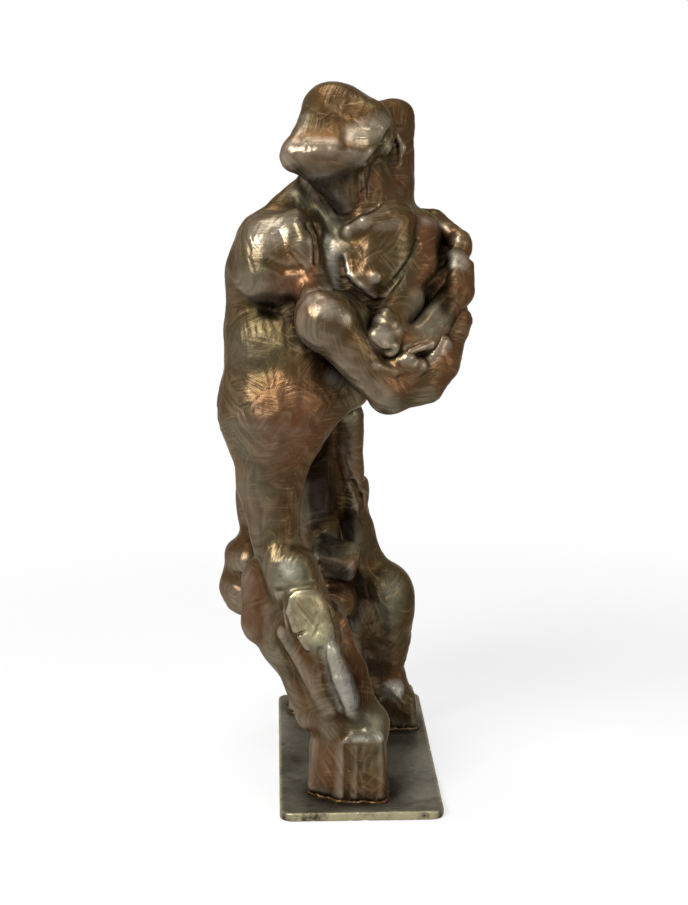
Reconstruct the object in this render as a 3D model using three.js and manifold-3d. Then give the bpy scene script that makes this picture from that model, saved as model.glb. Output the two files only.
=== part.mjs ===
// A standing centaur in bronze on a rectangular bronze plate.
// The figure is modelled as clay: round, tapering and blocky masses that melt into each other.
// It is then parted into castings, as a foundry parts it, and each casting has a spigot that
// slides into the next one, a flush pin that locks it, and a fine seam between the two.
// Millimetres, +Z up, -Y is the front. The origin is the centre of the plate's underside.
import * as THREE from "three";
import { mergeVertices } from "three/addons/utils/BufferGeometryUtils.js";
import Module from "manifold-3d";

const wasm = await Module();
wasm.setup();

// Base plate
const plateWidth = 104;
const plateLength = 246;
const plateThickness = 6;
const plateCorner = 9;
const plateEdge = 0.8;

// Armature: the figure's main points. Their heights are measured from the top of the plate.
const hip = [-53, -52, 254];
const frontKnee = [-45, -82, 147];
const frontHoof = [-6, -84, 0];
const withers = [-39, -30, 226];
const rump = [-33, 68, 176];
const leftStifle = [-2, 34, 166];
const leftHock = [19, 38, 97];
const leftHindHoof = [27, 54, 0];
const rightStifle = [-62, 54, 164];
const rightHock = [-70, 53, 110];
const rightHindHoof = [-30, 92, 0];
const tailRoot = [-26, 94, 198];
const tailTip = [-4, 110, 54];
const foldedKnee = [-14, -16, 122];
const chest = [-20, -38, 318];
const rightShoulder = [-53, -52, 346];
const leftShoulder = [42, -24, 336];
const neckPit = [-5, -60, 364];
const nape = [19, -42, 373];
const maneTop = [25, -26, 424];
const face = [-9, -60, 426];
const rightElbow = [-24, -92, 307];
const rightWrist = [18, -92, 262];
const leftElbow = [16, -95, 300];
const leftWrist = [64, -57, 319];

// Hooves: width, length and height above the sole
const frontHoofSize = [48, 42, 42];
const leftHindHoofSize = [36, 34, 25];
const rightHindHoofSize = [28, 34, 21];
const hoofTaper = 0.08;

// Joints between the castings
const jointGap = 0.3;
const fitGap = 0.15;
const waistSpigot = { radius: 15, length: 22 };
const neckSpigot = { radius: 10, length: 18 };
const withersSpigot = { radius: 17, length: 24 };
const kneeSpigot = { radius: 7, length: 16 };
const foldedLegSpigot = { radius: 8, length: 14 };
const leftHindSpigot = { radius: 9, length: 16 };
const rightHindSpigot = { radius: 8, length: 16 };
const tailSpigot = { radius: 6, length: 12 };
const pinRadius = 2;
const dowelRadius = 2.5;

// Countersunk screws through the plate into the hooves
const screwRadius = 2.5;
const screwHeadRadius = 5;
const screwHeadHeight = 2.8;
const screwLength = 20;
const screwRim = 0.4;
const screwTipChamfer = 1;
const screwSocketWidth = 3;
const screwSocketDepth = 1.6;
const frontScrewSpacing = 22;

// Fineness of the modelled skin
const clayCell = 3.6;
const figureFacets = 6200;
const armFacets = 600;
const rodSides = 12;

// The blends that repeat, in millimetres of melt between two masses
const crisp = 3;
const soft = 8;
const deep = 14;
const broad = 20;

const bronze = { color: 0x6b5136, roughness: 0.42, metalness: 0.75 };
const plateBronze = { color: 0x5d5a4a, roughness: 0.55, metalness: 0.7 };
const pinBronze = { color: 0x8a6a3c, roughness: 0.4, metalness: 0.85 };
const steel = { color: 0x8c8c8a, roughness: 0.35, metalness: 0.95 };

function by(point, x, y, z) {
  return [point[0] + x, point[1] + y, point[2] + z];
}

function axesOf(turn) {
  const [x, y, z] = turn.map(THREE.MathUtils.degToRad);
  const turned = new THREE.Matrix4().makeRotationFromEuler(new THREE.Euler(x, y, z, "ZYX"));
  return turned.elements;
}

// A form of clay: its distance function is less than nothing inside, and low and high box it in.
function form(distance, low, high) {
  return { distance, low, high };
}

function ball(centre, radii, turn = [0, 0, 0]) {
  const [a, b, c] = radii;
  const e = axesOf(turn);
  const reach = Math.max(a, b, c);
  const distance = (px, py, pz) => {
    const x = px - centre[0];
    const y = py - centre[1];
    const z = pz - centre[2];
    const u = (x * e[0] + y * e[1] + z * e[2]) / a;
    const v = (x * e[4] + y * e[5] + z * e[6]) / b;
    const w = (x * e[8] + y * e[9] + z * e[10]) / c;
    const size = Math.sqrt(u * u + v * v + w * w);
    const slope = Math.sqrt((u / a) ** 2 + (v / b) ** 2 + (w / c) ** 2) + 1e-6;
    return (size * (size - 1)) / slope;
  };
  return form(distance, by(centre, -reach, -reach, -reach), by(centre, reach, reach, reach));
}

function limb(from, to, fromRadius, toRadius) {
  const run = to.map((value, i) => value - from[i]);
  const runSquared = run[0] ** 2 + run[1] ** 2 + run[2] ** 2;
  const reach = Math.max(fromRadius, toRadius);
  const distance = (px, py, pz) => {
    const x = px - from[0];
    const y = py - from[1];
    const z = pz - from[2];
    const along = Math.min(Math.max((x * run[0] + y * run[1] + z * run[2]) / runSquared, 0), 1);
    const u = x - along * run[0];
    const v = y - along * run[1];
    const w = z - along * run[2];
    return Math.sqrt(u * u + v * v + w * w) - (fromRadius + (toRadius - fromRadius) * along);
  };
  const low = from.map((value, i) => Math.min(value, to[i]) - reach);
  const high = from.map((value, i) => Math.max(value, to[i]) + reach);
  return form(distance, low, high);
}

// A block with rounded edges, drawn in towards its top by taper
function slab(centre, half, round, turn = [0, 0, 0], taper = 0) {
  const e = axesOf(turn);
  const core = half.map((value) => value - round);
  const reach = Math.hypot(...half);
  const distance = (px, py, pz) => {
    const x = px - centre[0];
    const y = py - centre[1];
    const z = pz - centre[2];
    const height = x * e[8] + y * e[9] + z * e[10];
    const draw = 1 - (taper * height) / half[2];
    const u = Math.abs(x * e[0] + y * e[1] + z * e[2]) / draw - core[0];
    const v = Math.abs(x * e[4] + y * e[5] + z * e[6]) / draw - core[1];
    const w = Math.abs(height) - core[2];
    const outside = Math.sqrt(Math.max(u, 0) ** 2 + Math.max(v, 0) ** 2 + Math.max(w, 0) ** 2);
    return outside + Math.min(Math.max(u, v, w), 0) - round;
  };
  return form(distance, by(centre, -reach, -reach, -reach), by(centre, reach, reach, reach));
}

// Two distances joined, with the skins melting together over the blend
function melt(a, b, blend) {
  const near = Math.max(blend - Math.abs(a - b), 0);
  const dip = blend > 0 ? (near * near) / (4 * blend) : 0;
  return Math.min(a, b) - dip;
}

class Clay {
  steps = [];

  add(shape, blend = 0) {
    this.steps.push({ shape, blend, carves: false });
    return this;
  }

  carve(shape, blend = 0) {
    this.steps.push({ shape, blend, carves: true });
    return this;
  }
}

// Forequarters: hip, belly and the one straight thigh that carries the human half
function modelForequarter(clay) {
  clay.add(ball(by(hip, 1, 0, 0), [34.5, 34, 40]));
  clay.add(ball(by(hip, -3, -10, 32), [25, 20, 26]), deep);
  clay.add(ball(by(hip, 15, -18, 22), [15, 14, 22]), deep);
  clay.add(limb(by(hip, 16, -14, -1), by(hip, 47, -12, 6), 26, 14), soft);
  clay.add(limb(by(hip, 0, -10, -18), by(frontKnee, -11, 16, 54), 31, 20), broad);
  clay.add(limb(by(frontKnee, -11, 16, 54), by(frontKnee, -8, 8, 14), 20, 14.5), soft);
  clay.carve(limb(by(hip, 60, -48, 0), by(frontKnee, 14, -18, 66), 9, 14), soft);
}

// Right foreleg: knee, outer muscle, smooth calf plate, shin ridge and hoof
function modelRightForeleg(clay) {
  const fetlock = by(frontHoof, 1, -2, 54);
  clay.add(ball(frontKnee, [14.5, 13, 14]), soft);
  clay.add(limb(by(frontKnee, -17, 26, -6), by(frontKnee, -16, 28, -36), 13, 15), soft);
  clay.add(limb(by(frontKnee, -3, 14, -9), by(frontKnee, 1, 14, -50), 14, 20), soft);
  clay.add(limb(by(frontKnee, -3, 20, -42), by(frontHoof, -22, 10, 50), 14, 13), soft);
  clay.add(limb(by(frontKnee, 7, 2, -14), by(frontKnee, 25, -2, -66), 16, 17), soft);
  clay.add(limb(by(frontKnee, 20, 2, -54), by(frontHoof, -5, 0, 44), 16, 17), soft);
  clay.add(slab(by(frontKnee, 3, -6, 4), [12, 6, 11], 4, [-16, -16, -6]), deep);
  clay.add(ball(by(frontKnee, 14.5, -13, -25), [16, 10, 26], [3, -24, 4]), crisp);
  clay.add(limb(by(frontKnee, 26.5, -16, -44), by(frontKnee, 40, -14, -82.5), 5.5, 7.5), crisp);
  clay.add(limb(by(frontKnee, 31.5, 0, -29), by(frontKnee, 40.5, -2, -61.5), 6, 7), crisp);
  clay.add(limb(by(frontKnee, 40.5, -2, -61.5), by(frontKnee, 49, -2, -84), 7, 8), soft);
  clay.add(limb(by(frontKnee, -0.5, -8, -32.5), by(frontKnee, 26.5, -12, -80.5), 7, 7.5), crisp);
  clay.add(limb(by(fetlock, -3, 0, 26), fetlock, 10, 9), soft);
  const [width, length, height] = frontHoofSize;
  const middle = by(frontHoof, 7, 0, height / 2 - 1);
  const blockHalf = [width / 2 - 8, length / 2, height / 2 + 1];
  clay.add(slab(middle, blockHalf, 5, [0, 0, -4], hoofTaper), crisp);
  const side = by(frontHoof, -7, 3, height / 2 - 1);
  const sideHalf = [width / 2 - 9, length / 2 - 3, height / 2 + 1];
  clay.add(slab(side, sideHalf, 7, [0, 0, -36], hoofTaper), crisp);
  clay.add(ball(by(fetlock, 9, 0, -8), [15, 15, 12]), soft);
}

function modelHindquarters(clay) {
  clay.add(limb(by(withers, -8, 22, 2), by(rump, -2, -18, 30), 31, 33), broad);
  clay.add(ball(rump, [34, 36, 47]), broad);
  clay.add(limb(by(leftStifle, -1, -40, 72.5), by(leftStifle, 1, -16, 9.5), 9, 8), deep);
  clay.add(ball(by(leftStifle, -3, 31, -14), [17, 28, 42], [0, -14, 0]), deep);
  clay.add(ball(by(leftStifle, 6, -14, 16.5), [6.5, 10, 10], [0, 10, 0]), crisp);
  clay.add(ball(rightStifle, [18, 30, 38]), deep);
}

function modelLeftHindLeg(clay) {
  clay.add(limb(by(leftStifle, 3.5, -8, 7.5), by(leftStifle, 6.5, -2, -15), 7.5, 8.5), soft);
  clay.add(limb(by(leftStifle, 6.5, -2, -15), by(leftHock, -6, 3, 8), 8.5, 16), soft);
  clay.add(limb(by(leftStifle, 2, -10, 8), by(leftStifle, 3, -3, -36), 7, 6.5), soft);
  clay.add(limb(leftHock, by(leftHindHoof, -6, -10, 63), 21, 17.5), soft);
  clay.add(limb(by(leftHock, -12.5, -4, 15.5), by(leftHock, -11.5, -4, -32), 10, 11), soft);
  clay.add(ball(by(leftHock, 7.5, -4, -0.5), [13, 16, 26]), deep);
  clay.add(limb(by(leftHindHoof, -6, -10, 63), by(leftHindHoof, -6, -6, 36), 17.5, 14.5), soft);
  clay.add(limb(by(leftHindHoof, -4, -6, 33), by(leftHindHoof, 3, -2, 13), 15, 15.5), crisp);
  const [width, length, height] = leftHindHoofSize;
  const middle = by(leftHindHoof, 0, 0, height / 2 - 1);
  clay.add(slab(middle, [width / 2, length / 2, height / 2 + 1], 5, [0, 0, 0], hoofTaper), crisp);
}

function modelRightHindLeg(clay) {
  clay.add(ball(by(rightHock, -1.5, -17, 23.5), [17, 24, 15], [0, -20, 0]), soft);
  clay.add(ball(by(rightHock, -5.5, -15, -0.5), [16, 22, 19], [0, -24, 0]), soft);
  clay.add(ball(by(rightHock, 2, 0, 10), [15, 16, 19]), crisp);
  clay.add(limb(by(rightHock, 5, 3, -16), by(rightHindHoof, -12, -20, 41), 17, 12), soft);
  clay.add(limb(by(rightHindHoof, -10, -18, 54), by(rightHindHoof, -2, -2, 24), 14, 12), soft);
  const [width, length, height] = rightHindHoofSize;
  const middle = by(rightHindHoof, 0, 0, height / 2 - 1);
  clay.add(slab(middle, [width / 2, length / 2, height / 2 + 1], 5, [0, 0, 0], hoofTaper), crisp);
}

// Tail: three thick locks that twist round each other and taper to the tip
function modelTail(clay) {
  const bend = by(tailRoot, 10, 18, -48);
  const lower = by(tailTip, 0, 4, 40);
  clay.add(limb(by(tailRoot, 0, -6, 6), bend, 15, 13), deep);
  clay.add(limb(by(bend, -6, -2, 4), by(lower, 5, 0, -4), 10, 7), crisp);
  clay.add(limb(by(bend, 6, 3, 2), by(lower, -5, 2, 2), 10, 7.5), crisp);
  clay.add(limb(by(bend, 0, -6, -6), by(lower, 0, -5, -12), 9, 6), crisp);
  clay.add(limb(by(lower, 0, 0, 4), tailTip, 9.5, 4), crisp);
}

// Left foreleg, lifted and folded under the chest, with the flat top of its knee to the front
function modelLeftForeleg(clay) {
  const fold = by(foldedKnee, 0, 4, -16);
  const hoof = by(fold, -8, 28, -20);
  clay.add(limb(by(foldedKnee, -12, 34, 84), by(foldedKnee, -10, 28, 22), 20, 14), soft);
  clay.add(slab(by(foldedKnee, 0.5, 6, 19.5), [15.5, 13, 11], 10.5, [34, 12, -4]), soft);
  clay.add(limb(by(foldedKnee, -2.5, 12, 13), by(foldedKnee, 7, 14, -14), 12, 9), crisp);
  clay.add(limb(by(foldedKnee, -13, 26, 22), by(foldedKnee, -8, 26, -22.5), 9, 10), crisp);
  clay.add(limb(fold, hoof, 13, 9), soft);
  clay.add(slab(by(hoof, -1, 6, -2), [9, 8, 10], 3, [-50, 0, 0]), crisp);
}

// Torso: rib cage, flank, the heavy right shoulder, the flatter left chest and the upper arms
function modelTorso(clay) {
  clay.add(limb(by(chest, -20, 0, -34), by(chest, 2, 4, 21), 32, 34), broad);
  clay.add(ball(by(chest, -46, 2, -8), [12, 24, 32], [0, 6, 0]), broad);
  clay.add(limb(by(chest, -3, -24, -2), by(chest, 5, -20, 28), 13, 11), soft);
  clay.add(ball(by(chest, 24, 16, 20), [34, 22, 28]), deep);
  clay.add(slab(by(rightShoulder, 3.5, -3, 0.5), [28.5, 27, 27.5], 20, [-8, 0, 8], 0.1), soft);
  clay.add(limb(by(rightShoulder, -13, 2, -7), by(rightShoulder, -15.5, 6, -43), 16, 14), soft);
  clay.add(ball(by(rightShoulder, 21.5, -12, 7), [13, 14, 24], [0, -12, 0]), deep);
  clay.add(limb(by(rightShoulder, -4, 8, 11.5), by(neckPit, -28, 26, 19.5), 10, 7), soft);
  clay.add(limb(by(rightShoulder, 24, -24, -14.5), by(rightElbow, -1, 6, 11), 10, 12), soft);
  clay.add(slab(by(leftShoulder, -28.5, -31, 15), [21.5, 22, 31], 15, [-15, 3, 8], -0.08), deep);
  clay.carve(slab(by(leftShoulder, -44, -66, -12), [7.5, 15, 14], 2, [0, -44, 0]), 1);
  clay.add(limb(by(leftShoulder, -58, -48, -8.5), by(leftShoulder, -39, -56, -25), 4, 6), soft);
  clay.add(ball(by(leftShoulder, -32, -56, 1.5), [4, 3, 4]), crisp);
  clay.add(limb(by(chest, 23, -24, 6), by(chest, 22, -28, -28), 16, 14), soft);
  clay.add(ball(by(leftShoulder, -5, 3, 2), [17, 21, 29]), soft);
  clay.add(ball(by(leftShoulder, 15, 16, -2), [15, 13, 28]), soft);
  clay.add(limb(by(leftShoulder, 1, -16, 18), by(leftElbow, 12, 25, 17), 11, 11), soft);
  clay.add(limb(by(leftShoulder, -3, -21, 29.5), by(leftShoulder, -1, -34, 7), 10, 9), soft);
  clay.add(limb(by(leftShoulder, -1, -34, 7), by(leftShoulder, -14.5, -50, -8.5), 9, 8), crisp);
  clay.add(limb(by(leftShoulder, -14.5, -50, -8.5), by(leftShoulder, -24, -60, -18), 8, 6), crisp);
  clay.add(limb(by(leftElbow, 14, 23, 17), by(leftElbow, 1, 5, 2), 11, 10), crisp);
  clay.carve(ball(by(rightShoulder, -2, -28, -29), [10, 11, 4], [0, 10, 0]), crisp);
}

// Neck and head: the face is one sloping plane that ends below in a blunt ridge
function modelHead(clay) {
  clay.add(limb(by(neckPit, -6, 12, 2), by(neckPit, -13, 18, 26), 15, 18), soft);
  clay.add(limb(by(neckPit, 10, 10, 3), by(neckPit, 5, 12, 37), 22, 20), soft);
  clay.add(limb(by(maneTop, 0, 0, 2), nape, 12.5, 17.5), soft);
  clay.add(limb(by(maneTop, -2, 16, -6), by(nape, -5, 22, -11), 15, 24), soft);
  clay.add(ball(by(maneTop, -12, -6, -8), [15, 18, 20]), soft);
  const head = new Clay();
  head.add(slab(by(face, 0, -9, -13), [25, 13, 24.5], 11, [-46, 7, 0], 0.08));
  head.add(limb(by(face, -14.5, 4, 12.5), by(face, -27.5, -18, -11), 9, 9), soft);
  head.add(ball(by(face, -6, 9, 9), [13, 13, 13.5]), deep);
  head.add(ball(by(face, 19, -2, -0.5), [11, 13, 16]), deep);
  head.add(limb(by(face, -30, -20, -16), by(face, 3.5, -21, -17), 8.5, 8), soft);
  head.add(ball(by(face, 2, 14, -6), [22, 22, 24]), deep);
  head.add(limb(by(face, -8, -8, -27), by(neckPit, -2, -4, 11), 18, 8), soft);
  head.add(limb(by(face, 5, -8, -28), by(neckPit, 3, -3, 13), 11, 8), soft);
  return head;
}

// The ear: a thin bright fold in front, a softer rim behind and the lobe
function modelEar(head) {
  const rim = [
    by(face, 30, 8, 6),
    by(face, 31.5, 6, -1.5),
    by(face, 26.5, 0, -10),
    by(face, 16.5, -8, -17),
    by(face, 12.5, -10, -21),
  ];
  for (let i = 1; i < rim.length; i += 1) {
    head.add(limb(rim[i - 1], rim[i], 2.2, 2.2), crisp);
  }
  const shell = [
    by(face, 32.5, 14, -1),
    by(face, 37, 14, -11.5),
    by(face, 35, 12, -21.5),
    by(face, 27, 6, -27),
  ];
  for (let i = 1; i < shell.length; i += 1) {
    head.add(limb(shell[i - 1], shell[i], 2.4, 2.4), crisp);
  }
  head.add(ball(by(face, 20.5, 0, -25.5), [5, 5, 5]), crisp);
}

function modelRightArm() {
  const clay = new Clay();
  clay.add(ball(rightElbow, [16.5, 17, 19]));
  clay.add(ball(by(rightElbow, 12, -4, 2), [10, 10, 11]), soft);
  clay.add(limb(by(rightElbow, 9, 0, -7), by(rightWrist, -2, 0, 2), 16, 13), soft);
  clay.add(limb(by(rightElbow, 4, 14, 15), by(rightElbow, 24, 8, 0), 5, 8), soft);
  clay.add(limb(by(rightWrist, -20.5, -8, 32), by(rightWrist, -9.5, -8, 23), 4.5, 4.5), crisp);
  // the hand that lies under the other forearm, with its fingers round it
  const knuckles = by(rightWrist, 31.5, 14, 22);
  clay.add(limb(by(rightWrist, 1, 2, -3), by(rightWrist, 22, 8, 9), 11, 11), soft);
  clay.add(limb(by(rightWrist, 22, 8, 9), knuckles, 11, 12), soft);
  clay.add(limb(knuckles, by(rightWrist, 45, 30, 46), 12, 9), soft);
  clay.add(limb(by(rightWrist, -2, -2, 19.5), by(rightWrist, 11.5, -6, 27.5), 7, 5), crisp);
  clay.add(limb(by(rightWrist, 11.5, -2, 14.5), by(rightWrist, 18.5, -3, 22), 7, 5.5), crisp);
  clay.add(limb(by(rightWrist, 24, 2, 19), by(rightWrist, 34, 8, 35.5), 6, 5), crisp);
  return clay;
}

function modelLeftArm() {
  const clay = new Clay();
  clay.add(slab(by(leftElbow, 1.5, 5, 7.5), [9, 8, 12], 6, [-16, 22, 14]));
  clay.add(limb(by(leftElbow, -6.5, -2, 4), by(leftElbow, 2, -4, -3), 5.5, 5.5), crisp);
  clay.add(limb(by(leftElbow, 1.5, 7, -2), by(leftElbow, 24.5, 15, -2), 11, 11), soft);
  clay.add(limb(by(leftElbow, 11, 3, -7.5), by(leftElbow, 27.5, 9, -4), 4.5, 4.5), crisp);
  clay.add(limb(by(leftElbow, 24.5, 15, 0.5), leftWrist, 11, 9), crisp);
  // a hollow web of metal closes the space behind the forearm
  clay.add(slab(by(leftElbow, 29, 45, 15.5), [26, 5, 20], 4, [14, -24, 26]), soft);
  // the hand curls back to its own shoulder
  clay.add(limb(leftWrist, by(leftWrist, 4, 9, 20), 9, 6.5), crisp);
  clay.add(limb(by(leftWrist, -1, 11, 26.5), by(leftWrist, 0, 3, 12.5), 7, 7.5), crisp);
  clay.add(ball(by(leftWrist, 2, 17, 33.5), [8, 9, 10]), crisp);
  clay.add(limb(by(leftWrist, 1, 21, 37), by(leftWrist, -14, 27, 48.5), 7, 6.5), crisp);
  clay.add(limb(by(leftWrist, -14, 27, 48.5), by(leftWrist, -20, 31, 49.5), 6.5, 6.5), crisp);
  clay.add(slab(by(leftWrist, -5.5, 35, 21.5), [12, 5, 22], 4, [0, 0, 30]), soft);
  return clay;
}

// The clay's distances on a grid of cells
function sample(lumps, cell) {
  const margin = 3 * cell;
  const shapes = lumps.flatMap((clay) => clay.steps.filter((step) => !step.carves));
  const low = [0, 1, 2].map((i) => Math.min(...shapes.map((s) => s.shape.low[i])) - margin);
  const high = [0, 1, 2].map((i) => Math.max(...shapes.map((s) => s.shape.high[i])) + margin);
  const size = low.map((value, i) => Math.ceil((high[i] - value) / cell) + 1);
  const values = new Float32Array(size[0] * size[1] * size[2]).fill(1000);
  for (const clay of lumps) {
    const own = new Float32Array(values.length).fill(1000);
    for (const step of clay.steps) {
      spread(step, own, low, size, cell);
    }
    own.forEach((value, i) => {
      values[i] = Math.min(values[i], value);
    });
  }
  return { values, low, size, cell };
}

function spread({ shape, blend, carves }, values, low, size, cell) {
  const reach = blend + 2 * cell;
  const first = low.map((value, i) => Math.max(Math.floor((shape.low[i] - reach - value) / cell), 0));
  const last = low.map((value, i) =>
    Math.min(Math.ceil((shape.high[i] + reach - value) / cell), size[i] - 1),
  );
  for (let k = first[2]; k <= last[2]; k++) {
    for (let j = first[1]; j <= last[1]; j++) {
      for (let i = first[0]; i <= last[0]; i++) {
        const at = i + size[0] * (j + size[1] * k);
        const away = shape.distance(low[0] + i * cell, low[1] + j * cell, low[2] + k * cell);
        values[at] = carves ? -melt(-values[at], away, blend) : melt(values[at], away, blend);
      }
    }
  }
}

// Turns the weakest corner round wherever solid and air meet only across a diagonal, because
// the skin would touch itself there
function openDiagonals({ values, size }) {
  const steps = [1, size[0], size[0] * size[1]];
  const weakest = (corners) =>
    corners.reduce((a, b) => (Math.abs(values[b]) < Math.abs(values[a]) ? b : a));
  const inside = (at) => values[at] < 0;
  const crossed = ([a, b, c, d]) =>
    inside(a) === inside(d) && inside(b) === inside(c) && inside(a) !== inside(b);
  const corners = (at, across) => [
    at,
    at + across[0],
    at + across[1],
    at + across[0] + across[1],
  ];
  let changed = true;
  while (changed) {
    changed = false;
    const last = values.length - steps[0] - steps[1] - steps[2];
    for (let at = 0; at < last; at++) {
      for (const across of [[steps[0], steps[1]], [steps[1], steps[2]], [steps[0], steps[2]]]) {
        const square = corners(at, across);
        if (crossed(square)) {
          const turned = weakest(square);
          values[turned] = values[turned] < 0 ? 0.01 : -0.01;
          changed = true;
        }
      }
      for (const [from, to] of diagonalsOf(at, steps)) {
        const cube = cornersOfCube(at, steps);
        const alike = cube.filter((corner) => inside(corner) === inside(from));
        if (alike.length === 2 && inside(from) === inside(to)) {
          values[from] = values[from] < 0 ? 0.01 : -0.01;
          changed = true;
        }
      }
    }
  }
}

function cornersOfCube(at, [x, y, z]) {
  return [at, at + x, at + y, at + x + y, at + z, at + x + z, at + y + z, at + x + y + z];
}

function diagonalsOf(at, [x, y, z]) {
  return [
    [at, at + x + y + z],
    [at + x, at + y + z],
    [at + y, at + x + z],
    [at + z, at + x + y],
  ];
}

// A skin of four-sided facets round the clay, one corner in each cell that the skin passes
function skin({ values, low, size, cell }) {
  const steps = [1, size[0], size[0] * size[1]];
  const corner = new Int32Array(values.length).fill(-1);
  const points = [];
  for (let k = 0; k < size[2] - 1; k++) {
    for (let j = 0; j < size[1] - 1; j++) {
      for (let i = 0; i < size[0] - 1; i++) {
        const at = i + size[0] * (j + size[1] * k);
        const place = crossingMean(values, at, steps);
        if (place) {
          corner[at] = points.length;
          points.push([i, j, k].map((n, axis) => low[axis] + (n + place[axis]) * cell));
        }
      }
    }
  }
  const faces = [];
  for (let at = 0; at < values.length; at++) {
    for (let axis = 0; axis < 3; axis++) {
      const inside = values[at] < 0;
      if (values[at + steps[axis]] < 0 === inside || at + steps[axis] >= values.length) {
        continue;
      }
      const u = steps[(axis + 1) % 3];
      const v = steps[(axis + 2) % 3];
      const ring = [at, at - u, at - u - v, at - v].map((cellAt) => corner[cellAt]);
      faces.push(...splitRing(inside ? ring : ring.reverse(), points));
    }
  }
  return { points, faces };
}

// The mean of the places where the skin crosses the edges of one cell, in shares of the cell
function crossingMean(values, at, steps) {
  const sum = [0, 0, 0];
  let crossings = 0;
  for (let axis = 0; axis < 3; axis++) {
    const across = [(axis + 1) % 3, (axis + 2) % 3];
    for (let n = 0; n < 4; n++) {
      const offset = [n & 1, n >> 1];
      const from = at + offset[0] * steps[across[0]] + offset[1] * steps[across[1]];
      const a = values[from];
      const b = values[from + steps[axis]];
      if (a < 0 !== b < 0) {
        sum[axis] += a / (a - b);
        sum[across[0]] += offset[0];
        sum[across[1]] += offset[1];
        crossings += 1;
      }
    }
  }
  return crossings > 0 ? sum.map((value) => value / crossings) : null;
}

function gapBetween(a, b) {
  return Math.hypot(a[0] - b[0], a[1] - b[1], a[2] - b[2]);
}

function splitRing([a, b, c, d], points) {
  const level = gapBetween(points[a], points[c]) < gapBetween(points[b], points[d]);
  return level ? [[a, b, c], [a, c, d]] : [[a, b, d], [b, c, d]];
}

function cross(a, b) {
  return [a[1] * b[2] - a[2] * b[1], a[2] * b[0] - a[0] * b[2], a[0] * b[1] - a[1] * b[0]];
}

function dot(a, b) {
  return a[0] * b[0] + a[1] * b[1] + a[2] * b[2];
}

function minus(a, b) {
  return [a[0] - b[0], a[1] - b[1], a[2] - b[2]];
}

function faceNormal(a, b, c) {
  return cross(minus(b, a), minus(c, a));
}

// Each point's planes as one quadric: the symmetric part, the linear part and the constant
function planeSums(points, faces) {
  const sums = points.map(() => new Float64Array(10));
  for (const face of faces) {
    const [a, b, c] = face.map((n) => points[n]);
    const normal = faceNormal(a, b, c);
    const area = Math.hypot(...normal) + 1e-9;
    const [x, y, z] = normal.map((value) => value / area);
    const w = x * a[0] + y * a[1] + z * a[2];
    const terms = [x * x, x * y, x * z, y * y, y * z, z * z, x * w, y * w, z * w, w * w];
    for (const n of face) {
      terms.forEach((term, i) => {
        sums[n][i] += term * area;
      });
    }
  }
  return sums;
}

// The place that stays nearest to all the planes of an edge's two ends, and how far it departs
function bestPlace(sumA, sumB, a, b) {
  const q = sumA.map((value, i) => value + sumB[i]);
  const weight = 1e-2 * (q[0] + q[3] + q[5]) + 1e-9;
  const middle = a.map((value, i) => (value + b[i]) / 2);
  const rows = [
    [q[0] + weight, q[1], q[2]],
    [q[1], q[3] + weight, q[4]],
    [q[2], q[4], q[5] + weight],
  ];
  const right = [q[6], q[7], q[8]].map((value, i) => value + weight * middle[i]);
  const scale = dot(rows[0], cross(rows[1], rows[2]));
  const place = [
    dot(right, cross(rows[1], rows[2])) / scale,
    dot(rows[0], cross(right, rows[2])) / scale,
    dot(rows[0], cross(rows[1], right)) / scale,
  ];
  const [x, y, z] = place;
  const bend =
    q[0] * x * x + q[3] * y * y + q[5] * z * z + q[9] +
    2 * (q[1] * x * y + q[2] * x * z + q[4] * y * z - q[6] * x - q[7] * y - q[8] * z);
  return { place, cost: bend + 0.02 * gapBetween(a, b) ** 4 };
}

function facesAround(count, faces) {
  const around = Array.from({ length: count }, () => []);
  for (const face of faces) {
    face.forEach((n) => around[n].push(face));
  }
  return around;
}

function neighbours(n, around) {
  return new Set(around[n].flat().filter((other) => other !== n));
}

// Two points may become one if their facets stay a single skin and none of them turns over
function mayMerge(a, b, place, points, around) {
  const shared = [...neighbours(a, around)].filter((n) => neighbours(b, around).has(n));
  if (shared.length !== 2) {
    return false;
  }
  for (const [n, other] of [[a, b], [b, a]]) {
    for (const face of around[n]) {
      if (face.includes(other)) {
        continue;
      }
      const before = faceNormal(...face.map((m) => points[m]));
      const after = faceNormal(...face.map((m) => (m === n ? place : points[m])));
      const longest = Math.max(
        ...face.map((m) => (m === n ? 0 : gapBetween(points[m], place))),
      );
      const size = Math.hypot(...after);
      if (dot(before, after) < 0.5 * Math.hypot(...before) * size) {
        return false;
      }
      if (size < 0.08 * longest * longest) {
        return false;
      }
    }
  }
  return true;
}

// Draws neighbouring points together, the flattest places first, until few enough facets are left
function thinOut({ points, faces }, wanted) {
  const places = points.slice();
  let left = faces;
  let before = Infinity;
  while (left.length > wanted && left.length < before) {
    before = left.length;
    left = thinOnce(places, left, wanted);
  }
  return { points: places, faces: left };
}

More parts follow.
